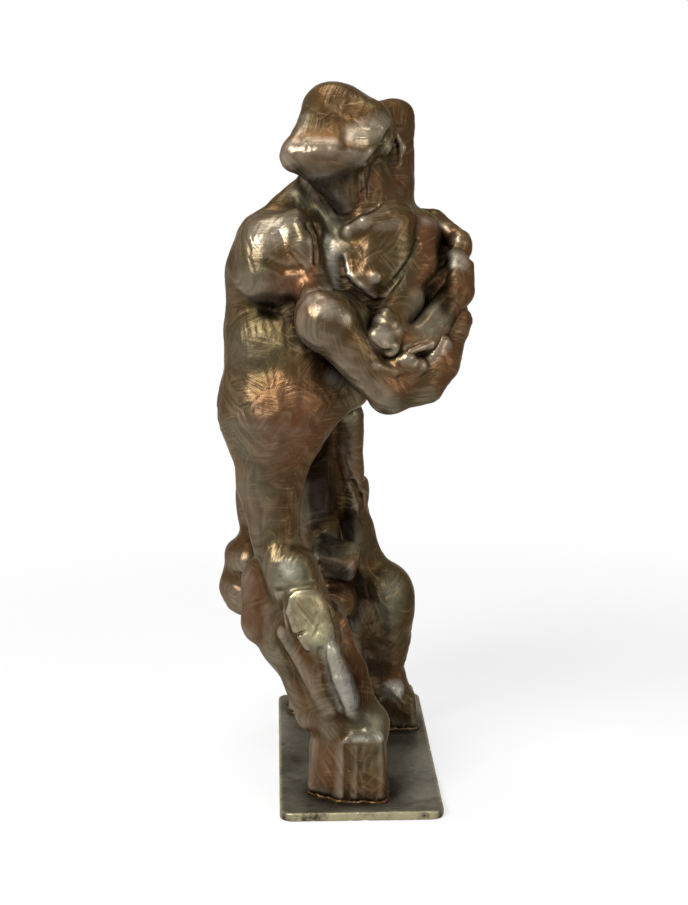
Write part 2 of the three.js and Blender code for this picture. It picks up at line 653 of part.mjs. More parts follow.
function thinOnce(points, faces, wanted) {
  const sums = planeSums(points, faces);
  const around = facesAround(points.length, faces);
  const edges = [];
  for (const [a, b, c] of faces) {
    for (const [from, to] of [[a, b], [b, c], [c, a]]) {
      if (from < to) {
        edges.push({ from, to, ...bestPlace(sums[from], sums[to], points[from], points[to]) });
      }
    }
  }
  edges.sort((one, two) => one.cost - two.cost);
  const moved = new Uint8Array(points.length);
  const becomes = new Map();
  let merges = Math.ceil(Math.min(edges.length / 8, (faces.length - wanted) / 2));
  for (const { from, to, place } of edges) {
    if (merges <= 0) {
      break;
    }
    if (moved[from] || moved[to] || !mayMerge(from, to, place, points, around)) {
      continue;
    }
    [...neighbours(from, around), ...neighbours(to, around)].forEach((n) => {
      moved[n] = 1;
    });
    points[from] = place;
    becomes.set(to, from);
    merges -= 1;
  }
  return faces
    .map((face) => face.map((n) => becomes.get(n) ?? n))
    .filter(([a, b, c]) => a !== b && b !== c && c !== a);
}

function solidOf({ points, faces }) {
  const used = new Map();
  faces.flat().forEach((n) => {
    if (!used.has(n)) {
      used.set(n, used.size);
    }
  });
  const vertProperties = new Float32Array([...used.keys()].flatMap((n) => points[n]));
  const triVerts = new Uint32Array(faces.flat().map((n) => used.get(n)));
  return new wasm.Manifold(new wasm.Mesh({ numProp: 3, vertProperties, triVerts }));
}

function solidOfGeometry(geometry) {
  const bare = geometry.clone();
  bare.deleteAttribute("normal");
  bare.deleteAttribute("uv");
  const merged = mergeVertices(bare, 1e-4);
  const vertProperties = new Float32Array(merged.attributes.position.array);
  const triVerts = new Uint32Array(merged.index.array);
  return new wasm.Manifold(new wasm.Mesh({ numProp: 3, vertProperties, triVerts }));
}

function geometryOf(solid) {
  const { vertProperties, triVerts } = solid.getMesh();
  const geometry = new THREE.BufferGeometry();
  geometry.setAttribute("position", new THREE.BufferAttribute(vertProperties, 3));
  geometry.setIndex(new THREE.BufferAttribute(triVerts, 1));
  geometry.computeVertexNormals();
  return geometry;
}

function modelled(lumps, facets) {
  const grid = sample(lumps, clayCell);
  openDiagonals(grid);
  return thinOut(skin(grid), facets);
}

// The same skin moved out along its own normals, to cut a neighbour that must stay clear of it
function grown({ points, faces }, gap) {
  const normals = points.map(() => [0, 0, 0]);
  for (const face of faces) {
    const normal = faceNormal(...face.map((n) => points[n]));
    face.forEach((n) => {
      normals[n] = normals[n].map((value, i) => value + normal[i]);
    });
  }
  const moved = points.map((point, n) => {
    const size = Math.hypot(...normals[n]) || 1;
    return point.map((value, i) => value + (normals[n][i] / size) * gap);
  });
  return { points: moved, faces };
}

// The largest of a solid's separate bodies, without the crumbs that a cut can leave
function largestBody(solid) {
  const { vertProperties, triVerts } = solid.getMesh();
  const triples = (list) =>
    Array.from({ length: list.length / 3 }, (_, i) => [...list.slice(3 * i, 3 * i + 3)]);
  const faces = triples(triVerts);
  const points = triples(vertProperties);
  const group = points.map((_, n) => n);
  const root = (n) => {
    let top = n;
    while (group[top] !== top) {
      group[top] = group[group[top]];
      top = group[top];
    }
    return top;
  };
  faces.forEach(([a, b, c]) => {
    group[root(b)] = root(a);
    group[root(c)] = root(a);
  });
  const bodies = new Map();
  faces.forEach((face) => {
    const top = root(face[0]);
    bodies.set(top, [...(bodies.get(top) ?? []), face]);
  });
  const largest = [...bodies.values()].reduce((a, b) => (b.length > a.length ? b : a));
  return solidOf({ points, faces: largest });
}

// A block between two corners, leaning about the middle of its front face
function block(low, high, lean = 0) {
  const size = minus(high, low);
  const geometry = new THREE.BoxGeometry(...size);
  geometry.translate(0, size[1] / 2, 0);
  geometry.rotateX(THREE.MathUtils.degToRad(lean));
  geometry.translate(low[0] + size[0] / 2, low[1], low[2] + size[2] / 2);
  return solidOfGeometry(geometry);
}

function rod(from, to, radius, sides = rodSides) {
  const start = new THREE.Vector3(...from);
  const end = new THREE.Vector3(...to);
  const run = end.clone().sub(start);
  const geometry = new THREE.CylinderGeometry(radius, radius, run.length(), sides);
  const up = new THREE.Vector3(0, 1, 0);
  geometry.applyQuaternion(new THREE.Quaternion().setFromUnitVectors(up, run.clone().normalize()));
  geometry.translate(...start.add(end).multiplyScalar(0.5));
  return solidOfGeometry(geometry);
}

function joined(solids) {
  return solids.reduce((all, solid) => all.add(solid));
}

function clayBlocks(blocks, gap) {
  return joined(
    blocks.map(({ low, high, lean }) => block(by(low, -gap, -gap, -gap), by(high, gap, gap, gap), lean)),
  );
}

const figureClay = new Clay();
modelForequarter(figureClay);
modelRightForeleg(figureClay);
modelHindquarters(figureClay);
modelLeftHindLeg(figureClay);
modelRightHindLeg(figureClay);
modelTail(figureClay);
modelLeftForeleg(figureClay);
modelTorso(figureClay);
const headClay = modelHead(figureClay);
modelEar(headClay);
const figureSkin = modelled([figureClay, headClay], figureFacets);

// The soles are cut flat where they stand on the plate. Beyond is past everything on any side.
const beyond = 400;
const underPlate = block([-beyond, -beyond, -beyond], [beyond, beyond, 0]);
const figure = solidOf(figureSkin).subtract(underPlate);

// The middles of the faces where the castings part
const kneeJoint = by(frontKnee, -8, 8, 16);
const foldedLegJoint = by(foldedKnee, -11, 31, 38);
const leftHindJoint = by(leftHock, -2, 0, 7);
const rightHindJoint = by(rightHock, 4, -1, 18);
const tailJoint = by(tailRoot, 5, 5.5, -30);
const withersJoint = by(withers, 1, 25.6, -4);
const neckJoint = by(neckPit, 5, 15, 22);
const waistJoint = by(chest, -22, -3, -34);
const tailLean = -4;
const withersLean = -20;

// Limits of the spaces between the legs
const behindForeleg = foldedKnee[1] - 18;
const aboveFoldedLeg = foldedKnee[2] - 14;
const betweenHindLegs = leftHindHoof[0] - 36;
const aboveFetlock = 70;
const haunchFront = 15.3;
const haunchDepth = 162;
const haunchRise = 78;
const underSoles = -1;

// The space of each casting, in the order of the cuts. One side of it is the joint's face.
const spaces = {
  right_foreleg: [
    {
      low: [kneeJoint[0] - 40, frontHoof[1] - 60, underSoles],
      high: [frontHoof[0] + 50, behindForeleg, kneeJoint[2]],
    },
  ],
  left_foreleg: [
    {
      low: by(foldedKnee, -34, -28, -62),
      high: [foldedKnee[0] + 22, foldedKnee[1] + 34, foldedLegJoint[2]],
    },
    {
      low: by(foldedKnee, -29, -28, -62),
      high: [foldedKnee[0] + 8, foldedKnee[1] + 51, foldedLegJoint[2]],
    },
    {
      low: by(foldedKnee, -34, -28, -62),
      high: [foldedKnee[0] + 2, foldedKnee[1] + 54, aboveFoldedLeg],
    },
  ],
  tail: [
    { low: by(tailJoint, -21, 0, -68), high: by(tailJoint, 51, 74, 68), lean: tailLean },
    { low: by(tailTip, -14, -18, -8), high: by(tailTip, 30, 60, 48) },
  ],
  left_hind_leg: [
    {
      low: [leftHock[0] - 27, leftHock[1] - 28, underSoles],
      high: [leftHock[0] + 50, leftHock[1] + 52, leftHindJoint[2]],
    },
  ],
  right_hind_leg: [
    {
      low: by(rightHock, -50, -46, -50),
      high: [rightHock[0] + 34, rightHock[1] + 62, rightHindJoint[2]],
    },
    {
      low: [rightHock[0] - 50, rightHock[1] - 46, underSoles],
      high: [betweenHindLegs, rightHindHoof[1] + 25, aboveFetlock],
    },
  ],
  hindquarters: [
    {
      low: by(withersJoint, -beyond, -haunchFront, -haunchDepth),
      high: by(withersJoint, beyond, beyond, haunchRise),
      lean: withersLean,
    },
  ],
  head: [{ low: [-beyond, -beyond, neckJoint[2]], high: [beyond, beyond, beyond + neckJoint[2]] }],
  torso: [{ low: [-beyond, -beyond, waistJoint[2]], high: [beyond, beyond, beyond + waistJoint[2]] }],
};

const castings = {};
let uncut = figure;
for (const [name, blocks] of Object.entries(spaces)) {
  castings[name] = uncut.intersect(clayBlocks(blocks, 0));
  uncut = uncut.subtract(clayBlocks(blocks, jointGap));
}
castings.forequarter = uncut;
for (const name of Object.keys(castings)) {
  castings[name] = largestBody(castings[name]);
}

const rightArmSkin = modelled([modelRightArm()], armFacets);
const leftArmSkin = modelled([modelLeftArm()], armFacets);
const figureCutter = solidOf(grown(figureSkin, jointGap));
castings.left_arm = largestBody(solidOf(leftArmSkin).subtract(figureCutter));
castings.right_arm = largestBody(
  solidOf(rightArmSkin).subtract(figureCutter).subtract(solidOf(grown(leftArmSkin, jointGap))),
);

function toward(point, direction, length) {
  const size = Math.hypot(...direction);
  return point.map((value, i) => value + (direction[i] / size) * length);
}

// A spigot on one casting that slides into a socket in the next, and a pin through both.
// The pin starts past the spigot's axis and is filed flush with the skin.
const pins = {};
function spigotJoint(name, [keeper, taker], seat, direction, { radius, length }, pinWay, pinReach) {
  const root = toward(seat, direction, -radius);
  const tip = toward(seat, direction, length);
  castings[keeper] = castings[keeper].add(rod(root, tip, radius));
  const socketTip = toward(tip, direction, jointGap);
  castings[taker] = castings[taker].subtract(rod(root, socketTip, radius + fitGap));
  const middle = toward(seat, direction, length / 2 + jointGap);
  const end = toward(middle, pinWay, -2 * pinRadius);
  const outside = toward(middle, pinWay, pinReach);
  const pinHole = rod(toward(end, pinWay, -jointGap), outside, pinRadius + fitGap);
  castings[keeper] = castings[keeper].subtract(pinHole);
  castings[taker] = castings[taker].subtract(pinHole);
  pins[name] = rod(end, outside, pinRadius).intersect(figure);
}

const up = [0, 0, 1];
const back = [0, 1, 0];
const left = [-1, 0, 0];
const right = [1, 0, 0];
const leanAngle = THREE.MathUtils.degToRad(withersLean);
const alongBack = [0, Math.cos(leanAngle), Math.sin(leanAngle)];
const down = [0, 0, -1];
const ontoForeleg = ["forequarter", "right_foreleg"];
const ontoHindquarters = ["left_foreleg", "hindquarters"];
const ontoLeftHindLeg = ["hindquarters", "left_hind_leg"];
const ontoRightHindLeg = ["hindquarters", "right_hind_leg"];
spigotJoint("knee_pin", ontoForeleg, kneeJoint, down, kneeSpigot, back, 30);
spigotJoint("folded_leg_pin", ontoHindquarters, foldedLegJoint, up, foldedLegSpigot, left, 34);
spigotJoint("left_hind_pin", ontoLeftHindLeg, leftHindJoint, down, leftHindSpigot, right, 34);
spigotJoint("right_hind_pin", ontoRightHindLeg, rightHindJoint, down, rightHindSpigot, left, 34);
spigotJoint("tail_pin", ["hindquarters", "tail"], tailJoint, back, tailSpigot, right, 34);
spigotJoint("withers_pin", ["forequarter", "hindquarters"], withersJoint, alongBack, withersSpigot, up, 50);
spigotJoint("waist_pin", ["forequarter", "torso"], waistJoint, up, waistSpigot, back, 56);
spigotJoint("neck_pin", ["torso", "head"], neckJoint, up, neckSpigot, back, 66);

// Dowels between the torso and the arms that lie against it
function dowelJoint(name, one, other, from, to) {
  const way = minus(to, from);
  const hole = rod(toward(from, way, -jointGap), toward(to, way, jointGap), dowelRadius + fitGap);
  castings[one] = castings[one].subtract(hole);
  castings[other] = castings[other].subtract(hole);
  pins[name] = rod(from, to, dowelRadius);
}

dowelJoint("right_arm_dowel", "torso", "right_arm", by(rightElbow, 0, 38, 0), by(rightElbow, 0, -6, 0));
dowelJoint("left_arm_dowel", "torso", "left_arm", by(leftElbow, 3, 8, 2), by(leftElbow, 21, 13.5, 0));

// Half the outline of a screw, or of its hole when it is grown by the fit gap
function screwProfile(grow) {
  const head = screwHeadRadius + grow;
  const shank = screwRadius + grow;
  const mouth = fitGap - 2 * grow;
  const tip = screwLength + grow;
  return [
    [0, mouth],
    [head, mouth],
    [head, screwRim],
    [shank, screwRim + screwHeadHeight],
    [shank, tip - screwTipChamfer],
    [shank - screwTipChamfer, tip],
    [0, tip],
  ].map(([r, z]) => new THREE.Vector2(r, z));
}

function screwBody(grow) {
  const geometry = new THREE.LatheGeometry(screwProfile(grow), rodSides);
  geometry.rotateX(Math.PI / 2);
  return geometry;
}

function plateGeometry() {
  const x = plateWidth / 2 - plateEdge;
  const y = plateLength / 2 - plateEdge;
  const corner = plateCorner - plateEdge;
  const outline = new THREE.Shape();
  outline.absarc(x - corner, y - corner, corner, 0, Math.PI / 2);
  outline.absarc(corner - x, y - corner, corner, Math.PI / 2, Math.PI);
  outline.absarc(corner - x, corner - y, corner, Math.PI, 1.5 * Math.PI);
  outline.absarc(x - corner, corner - y, corner, 1.5 * Math.PI, 2 * Math.PI);
  outline.closePath();
  const geometry = new THREE.ExtrudeGeometry(outline, {
    depth: plateThickness - 2 * plateEdge,
    bevelThickness: plateEdge,
    bevelSize: plateEdge,
    bevelSegments: 1,
    curveSegments: 5,
  });
  geometry.translate(0, 0, plateEdge);
  return geometry;
}

const screwPlaces = [
  by(frontHoof, 0, -frontScrewSpacing / 2, 0),
  by(frontHoof, 0, frontScrewSpacing / 2, 0),
  leftHindHoof,
  rightHindHoof,
];
const screwedPieces = ["right_foreleg", "right_foreleg", "left_hind_leg", "right_hind_leg"];

let plate = solidOfGeometry(plateGeometry());
const screws = screwPlaces.map(([x, y], i) => {
  const hole = solidOfGeometry(screwBody(fitGap).translate(x, y, 0));
  const holeInFigure = solidOfGeometry(screwBody(fitGap).translate(x, y, -plateThickness));
  plate = plate.subtract(hole);
  castings[screwedPieces[i]] = castings[screwedPieces[i]].subtract(holeInFigure);
  const socketRadius = screwSocketWidth / 2;
  const socket = new THREE.CylinderGeometry(socketRadius, socketRadius, 2 * screwSocketDepth, 6);
  socket.rotateX(Math.PI / 2);
  socket.translate(x, y, fitGap);
  return solidOfGeometry(screwBody(0).translate(x, y, 0)).subtract(solidOfGeometry(socket));
});

function meshOf(name, solid, finish) {
  const mesh = new THREE.Mesh(geometryOf(solid), new THREE.MeshStandardMaterial(finish));
  mesh.name = name;
  return mesh;
}

const statue = new THREE.Group();
statue.name = "centaur_statue";
statue.add(meshOf("base_plate", plate, plateBronze));
screws.forEach((screw, i) => {
  statue.add(meshOf(`hoof_screw_${i + 1}`, screw, steel));
});

const standing = new THREE.Group();
standing.name = "figure";
standing.position.z = plateThickness;
for (const [name, solid] of Object.entries(castings)) {
  standing.add(meshOf(name, solid, bronze));
}
for (const [name, solid] of Object.entries(pins)) {
  standing.add(meshOf(name, solid, pinBronze));
}
statue.add(standing);

export default statue;
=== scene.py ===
"""A bronze centaur on its plate: the modelled figure in its castings, the patina and the studio.

The figure is modelled as clay: round, tapering and blocky masses that melt into each other. Its
sizes are in millimetres, with heights above the plate's top, and every mesh is made in metres.
"""
import math
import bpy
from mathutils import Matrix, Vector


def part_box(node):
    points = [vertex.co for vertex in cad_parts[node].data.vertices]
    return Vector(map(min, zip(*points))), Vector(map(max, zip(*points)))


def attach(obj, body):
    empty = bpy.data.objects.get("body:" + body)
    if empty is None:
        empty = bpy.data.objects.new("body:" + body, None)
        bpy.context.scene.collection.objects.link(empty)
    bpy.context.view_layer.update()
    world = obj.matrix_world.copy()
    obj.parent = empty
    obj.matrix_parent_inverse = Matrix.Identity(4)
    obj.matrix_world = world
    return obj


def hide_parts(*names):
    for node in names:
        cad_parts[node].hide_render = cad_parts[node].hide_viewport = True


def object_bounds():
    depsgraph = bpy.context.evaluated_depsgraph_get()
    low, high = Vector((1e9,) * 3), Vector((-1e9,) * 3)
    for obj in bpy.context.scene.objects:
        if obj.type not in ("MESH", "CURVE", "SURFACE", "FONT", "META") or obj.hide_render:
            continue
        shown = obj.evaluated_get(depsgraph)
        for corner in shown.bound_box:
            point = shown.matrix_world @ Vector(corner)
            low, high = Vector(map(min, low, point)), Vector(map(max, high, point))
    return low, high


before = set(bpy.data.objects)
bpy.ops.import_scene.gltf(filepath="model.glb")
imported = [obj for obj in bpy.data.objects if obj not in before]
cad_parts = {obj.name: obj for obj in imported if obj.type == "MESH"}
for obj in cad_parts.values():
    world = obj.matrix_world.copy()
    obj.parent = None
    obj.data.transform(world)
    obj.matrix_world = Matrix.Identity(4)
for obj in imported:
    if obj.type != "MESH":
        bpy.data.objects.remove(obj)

from types import SimpleNamespace

import bmesh
import bpy
import numpy as np
from mathutils import Matrix, Vector

cad_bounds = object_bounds()
MM = 0.001
plate_low, plate_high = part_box("base_plate")
plate_top = plate_high.z / MM


class Point(list):
    """A place on the figure. Called with three distances, it gives the place that far from it."""

    def __call__(self, x, y, z):
        return Point([self[0] + x, self[1] + y, self[2] + z])


# Fineness of the modelled skin
clay_cell = 0.95
block_cells = 8
far = 1000.0

# The blends that repeat, in millimetres of melt between two masses
crisp = 3
soft = 8
deep = 14
broad = 20

# Armature: the figure's main points. Their heights are measured from the top of the plate.
hip = Point([-53, -52, 254])
front_knee = Point([-45, -82, 147])
front_hoof = Point([-6, -84, 0])
withers = Point([-39, -30, 226])
rump = Point([-33, 68, 176])
left_stifle = Point([-2, 34, 166])
left_hock = Point([19, 38, 97])
left_hind_hoof = Point([27, 54, 0])
right_stifle = Point([-62, 54, 164])
right_hock = Point([-70, 53, 110])
right_hind_hoof = Point([-30, 92, 0])
tail_root = Point([-26, 94, 198])
tail_tip = Point([-4, 110, 54])
folded_knee = Point([-14, -16, 122])
chest = Point([-20, -38, 318])
right_shoulder = Point([-53, -52, 346])
left_shoulder = Point([42, -24, 336])
neck_pit = Point([-5, -60, 364])
nape = Point([19, -42, 373])
mane_top = Point([25, -26, 424])
face = Point([-9, -60, 426])
right_elbow = Point([-24, -92, 307])
right_wrist = Point([18, -92, 262])
left_elbow = Point([16, -95, 300])
left_wrist = Point([64, -57, 319])

# Hooves: width, length and height above the sole
front_hoof_size = [48, 42, 42]
left_hind_hoof_size = [36, 34, 25]
right_hind_hoof_size = [28, 34, 21]
hoof_taper = 0.08

# The plate's corners, edges and worn rim, and its screws
plate_corner = 9
plate_edge = 1.2
rim_width = 2.4
screw_head = 5.2
screw_sinking = 2.4
screw_names = [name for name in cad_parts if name.startswith("hoof_screw")]
screw_places = [((low + high) / 2 / MM).xy for low, high in map(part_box, screw_names)]


def turned(turn):
    """The axes of a form that is turned about X, then Y, then Z, as columns."""
    x, y, z = (math.radians(angle) for angle in turn)
    matrix = Matrix.Rotation(z, 3, "Z") @ Matrix.Rotation(y, 3, "Y") @ Matrix.Rotation(x, 3, "X")
    return np.array(matrix, np.float32)


def form(distance, low, high):
    """A form of clay: its distance is less than nothing inside, and low and high box it in."""
    return SimpleNamespace(distance=distance, low=np.array(low), high=np.array(high))


def lengths(vectors):
    return np.sqrt(np.einsum("ij,ij->i", vectors, vectors))


def ball(centre, radii, turn=(0, 0, 0)):
    middle = np.array(centre, np.float32)
    size = np.array(radii, np.float32)
    axes = turned(turn)
    reach = max(radii)

    def distance(points):
        share = (points - middle) @ axes / size
        away = lengths(share)
        return away * (away - 1) / (lengths(share / size) + 1e-6)

    return form(distance, np.array(centre) - reach, np.array(centre) + reach)


def limb(start, end, start_radius, end_radius):
    foot = np.array(start, np.float32)
    run = np.array(end, np.float32) - foot
    reach = max(start_radius, end_radius)

    def distance(points):
        out = points - foot
        along = np.clip(out @ run / (run @ run), 0, 1)
        out -= along[:, None] * run
        return lengths(out) - (start_radius + (end_radius - start_radius) * along)

    return form(distance, np.minimum(start, end) - reach, np.maximum(start, end) + reach)


def slab(centre, half, rounding, turn=(0, 0, 0), taper=0.0):
    """A block with rounded edges, drawn in towards its top by taper."""
    middle = np.array(centre, np.float32)
    core = np.array(half, np.float32) - rounding
    axes = turned(turn)
    reach = math.hypot(*half)

    def distance(points):
        local = (points - middle) @ axes
        local[:, :2] /= (1 - taper * local[:, 2] / half[2])[:, None]
        out = np.abs(local) - core
        return lengths(np.maximum(out, 0)) + np.minimum(out.max(1), 0) - rounding

    return form(distance, np.array(centre) - reach, np.array(centre) + reach)


def plate_form(width, length, thickness, corner, edge):
    """A flat plate under the figure, round at its corners and broken along its edges."""
    middle = np.array([0, 0, -thickness / 2], np.float32)
    flat = np.array([width / 2, length / 2], np.float32) - corner

    def distance(points):
        local = np.abs(points - middle)
        over = local[:, :2] - flat
        sides = lengths(np.maximum(over, 0)) + np.minimum(over.max(1), 0) - corner + edge
        out = np.stack([sides, local[:, 2] - thickness / 2 + edge], -1)
        return lengths(np.maximum(out, 0)) + np.minimum(out.max(1), 0) - edge

    return form(distance, [-width / 2, -length / 2, -thickness], [width / 2, length / 2, 0])


def melt(one, other, blend):
    """Two distances joined, with the skins melting together over the blend."""
    nearest = np.minimum(one, other)
    if blend > 0:
        nearest -= np.maximum(blend - np.abs(one - other), 0) ** 2 / (4 * blend)
    return nearest


class Clay:
    """Masses of clay that are added to each other, or carved away, in order."""

    def __init__(self):
        self.steps = []

    def add(self, shape, blend=0):
        self.steps.append((shape, blend, False))

    def carve(self, shape, blend=0):
        self.steps.append((shape, blend, True))


def ridge(clay, anchor, places, radius, blend=2.0):
    """A thin roll of clay along the places, which are measured from the anchor."""
    for start, end in zip(places, places[1:]):
        clay.add(limb(anchor(*start), anchor(*end), radius, radius), blend)


def crease(clay, anchor, places, radius, blend=2.0):
    """A groove along the places, which are measured from the anchor."""
    for start, end in zip(places, places[1:]):
        clay.carve(limb(anchor(*start), anchor(*end), radius, radius), blend)


def hoof_block(sole, size, rounding=5, heading=0):
    """A block that stands on the middle of its sole, turns to its heading and narrows upwards."""
    width, length, height = size
    half = [width / 2, length / 2, height / 2 + 1]
    return slab(sole(0, 0, height / 2 - 1), half, rounding, [0, 0, heading], hoof_taper)


# Forequarters: hip, belly and the one straight thigh that carries the human half
def model_forequarter(clay):
    add, carve = clay.add, clay.carve
    knee = front_knee
    add(ball(hip(1, 0, 0), [34.5, 34, 40]))
    add(ball(hip(-3, -10, 32), [25, 20, 26]), deep)
    add(ball(hip(15, -18, 22), [15, 14, 22]), deep)
    add(limb(hip(16, -14, -1), hip(47, -12, 6), 26, 14), soft)
    add(limb(hip(0, -10, -18), knee(-11, 16, 54), 31, 20), broad)
    add(limb(knee(-11, 16, 54), knee(-8, 8, 14), 20, 14.5), soft)
    carve(limb(hip(60, -48, 0), knee(14, -18, 66), 9, 14), soft)


# Right foreleg: knee, outer muscle, smooth calf plate, shin ridge and hoof
def model_right_foreleg(clay):
    add = clay.add
    knee, hoof = front_knee, front_hoof
    fetlock = hoof(1, -2, 54)
    add(ball(knee, [14.5, 13, 14]), soft)
    add(limb(knee(-17, 26, -12), knee(-16, 28, -42), 13, 15), soft)
    add(limb(knee(-3, 14, -9), knee(1, 14, -50), 14, 20), soft)
    add(limb(knee(-3, 20, -42), hoof(-22, 10, 50), 14, 13), soft)
    add(limb(knee(7, 2, -14), knee(25, -2, -66), 16, 17), soft)
    add(limb(knee(20, 2, -54), hoof(-5, 0, 44), 16, 17), soft)
    add(slab(knee(3, -6, -2), [12, 6, 11], 4, [-16, -16, -6]), deep)
    add(ball(knee(14.5, -13, -31), [16, 10, 26], [3, -24, 4]), crisp)
    add(limb(knee(26.5, -16, -50), knee(40, -14, -88.5), 5.5, 7.5), crisp)
    add(limb(knee(31.5, 0, -35), knee(40.5, -2, -67.5), 6, 7), crisp)
    add(limb(knee(40.5, -2, -67.5), knee(49, -2, -90), 7, 8), soft)
    add(limb(knee(-0.5, -8, -38.5), knee(26.5, -12, -86.5), 7, 7.5), crisp)
    add(limb(fetlock(-3, 0, 26), fetlock, 10, 9), soft)
    width, length, height = front_hoof_size
    add(hoof_block(hoof(7, 0, 0), [width - 16, length, height], 5, -4), crisp)
    add(hoof_block(hoof(-7, 3, 0), [width - 18, length - 6, height], 7, -36), crisp)
    add(ball(fetlock(9, 0, -8), [15, 15, 12]), soft)


def model_hindquarters(clay):
    add = clay.add
    stifle = left_stifle
    add(limb(withers(-8, 22, 2), rump(-2, -18, 30), 31, 33), broad)
    add(ball(rump, [34, 36, 47]), broad)
    add(limb(stifle(-1, -40, 66.5), stifle(1, -16, 3.5), 9, 8), deep)
    add(ball(stifle(-3, 31, -14), [17, 28, 42], [0, -14, 0]), deep)
    add(ball(stifle(6, -14, 10.5), [6.5, 10, 10], [0, 10, 0]), crisp)
    add(ball(right_stifle, [18, 30, 38]), deep)


def model_left_hind_leg(clay):
    add = clay.add
    stifle, hock, hoof = left_stifle, left_hock, left_hind_hoof
    add(limb(stifle(3.5, -8, 1.5), stifle(6.5, -2, -21), 7.5, 8.5), soft)
    add(limb(stifle(6.5, -2, -21), hock(-6, 3, 8), 8.5, 16), soft)
    add(limb(stifle(2, -10, 2), stifle(3, -3, -42), 7, 6.5), soft)
    add(limb(hock, hoof(-6, -10, 63), 21, 17.5), soft)
    add(limb(hock(-12.5, -4, 9.5), hock(-11.5, -4, -38), 10, 11), soft)
    add(ball(hock(7.5, -4, -6.5), [13, 16, 26]), deep)
    add(limb(hoof(-6, -10, 63), hoof(-6, -6, 36), 17.5, 14.5), soft)
    add(limb(hoof(-4, -6, 33), hoof(3, -2, 13), 15, 15.5), crisp)
    add(hoof_block(hoof, left_hind_hoof_size), crisp)


def model_right_hind_leg(clay):
    add = clay.add
    hock, hoof = right_hock, right_hind_hoof
    add(ball(hock(-1.5, -17, 17.5), [17, 24, 15], [0, -20, 0]), soft)
    add(ball(hock(-5.5, -15, -6.5), [16, 22, 19], [0, -24, 0]), soft)
    add(ball(hock(2, 0, 10), [15, 16, 19]), crisp)
    add(limb(hock(5, 3, -16), hoof(-12, -20, 41), 17, 12), soft)
    add(limb(hoof(-10, -18, 54), hoof(-2, -2, 24), 14, 12), soft)
    add(hoof_block(hoof, right_hind_hoof_size), crisp)


# Tail: three thick locks that twist round each other and taper to the tip
def model_tail(clay):
    add = clay.add
    bend = tail_root(10, 18, -48)
    lower = tail_tip(0, 4, 40)
    add(limb(tail_root(0, -6, 6), bend, 15, 13), deep)
    add(limb(bend(-6, -2, 4), lower(5, 0, -4), 10, 7), crisp)
    add(limb(bend(6, 3, 2), lower(-5, 2, 2), 10, 7.5), crisp)
    add(limb(bend(0, -6, -6), lower(0, -5, -12), 9, 6), crisp)
    add(limb(lower(0, 0, 4), tail_tip, 9.5, 4), crisp)


# Left foreleg, lifted and folded under the chest, with the flat top of its knee to the front
def model_left_foreleg(clay):
    add = clay.add
    knee = folded_knee
    fold = knee(0, 4, -16)
    hoof = fold(-8, 28, -20)
    add(limb(knee(-12, 34, 84), knee(-10, 28, 22), 20, 14), soft)
    add(slab(knee(0.5, 6, 13.5), [15.5, 13, 10], 7, [30, 10, -4]), soft)
    add(limb(knee(-2.5, 12, 7), knee(7, 14, -20), 12, 9), crisp)
    add(limb(knee(-13, 26, 16), knee(-8, 26, -28.5), 9, 10), crisp)
    add(limb(fold, hoof, 13, 9), soft)
    add(slab(hoof(-1, 6, -2), [9, 8, 10], 3, [-50, 0, 0]), crisp)


# Torso: rib cage, flank, the heavy right shoulder, the flatter left chest and the upper arms
def model_torso(clay):
    add, carve = clay.add, clay.carve
    left, right = left_shoulder, right_shoulder
    add(limb(chest(-20, 0, -34), chest(2, 4, 21), 32, 34), broad)
    add(ball(chest(-46, 2, -8), [12, 24, 32], [0, 6, 0]), broad)
    add(limb(chest(-3, -24, -2), chest(5, -20, 28), 13, 11), soft)
    add(ball(chest(24, 16, 20), [34, 22, 28]), deep)
    add(slab(right(3.5, -3, -5.5), [28.5, 27, 27.5], 20, [-8, 0, 8], 0.1), soft)
    add(limb(right(-13, 2, -13), right(-15.5, 6, -49), 16, 14), soft)
    add(ball(right(21.5, -12, 1), [13, 14, 24], [0, -12, 0]), deep)
    add(limb(right(-6.5, 8, 10.5), neck_pit(-31.5, 26, 16), 11, 8), soft)
    add(limb(right(24, -24, -20.5), right_elbow(-1, 6, 11), 10, 12), soft)
    add(slab(left(-28.5, -31, 9), [21.5, 22, 31], 15, [-15, 3, 8], -0.08), deep)
    carve(slab(left(-44, -66, -18), [7.5, 15, 14], 2, [0, -44, 0]), 1)
    add(limb(left(-58, -48, -14.5), left(-39, -56, -31), 4, 6), soft)
    add(ball(left(-32, -56, -4.5), [4, 3, 4]), crisp)
    add(limb(chest(23, -24, 6), chest(22, -28, -28), 16, 14), soft)
    add(ball(left(-5, 3, 2), [17, 21, 29]), soft)
    add(ball(left(15, 16, -2), [15, 13, 28]), soft)
    add(limb(left(1, -16, 18), left_elbow(12, 25, 17), 11, 11), soft)
    add(limb(left(-3, -21, 23.5), left(-1, -34, 1), 10, 9), soft)
    add(limb(left(-1, -34, 1), left(-14.5, -50, -14.5), 9, 8), crisp)
    add(limb(left(-14.5, -50, -14.5), left(-24, -60, -24), 8, 6), crisp)
    add(limb(left_elbow(14, 23, 17), left_elbow(1, 5, 2), 11, 10), crisp)
    carve(ball(right(-2, -28, -35), [10, 11, 4], [0, 10, 0]), crisp)


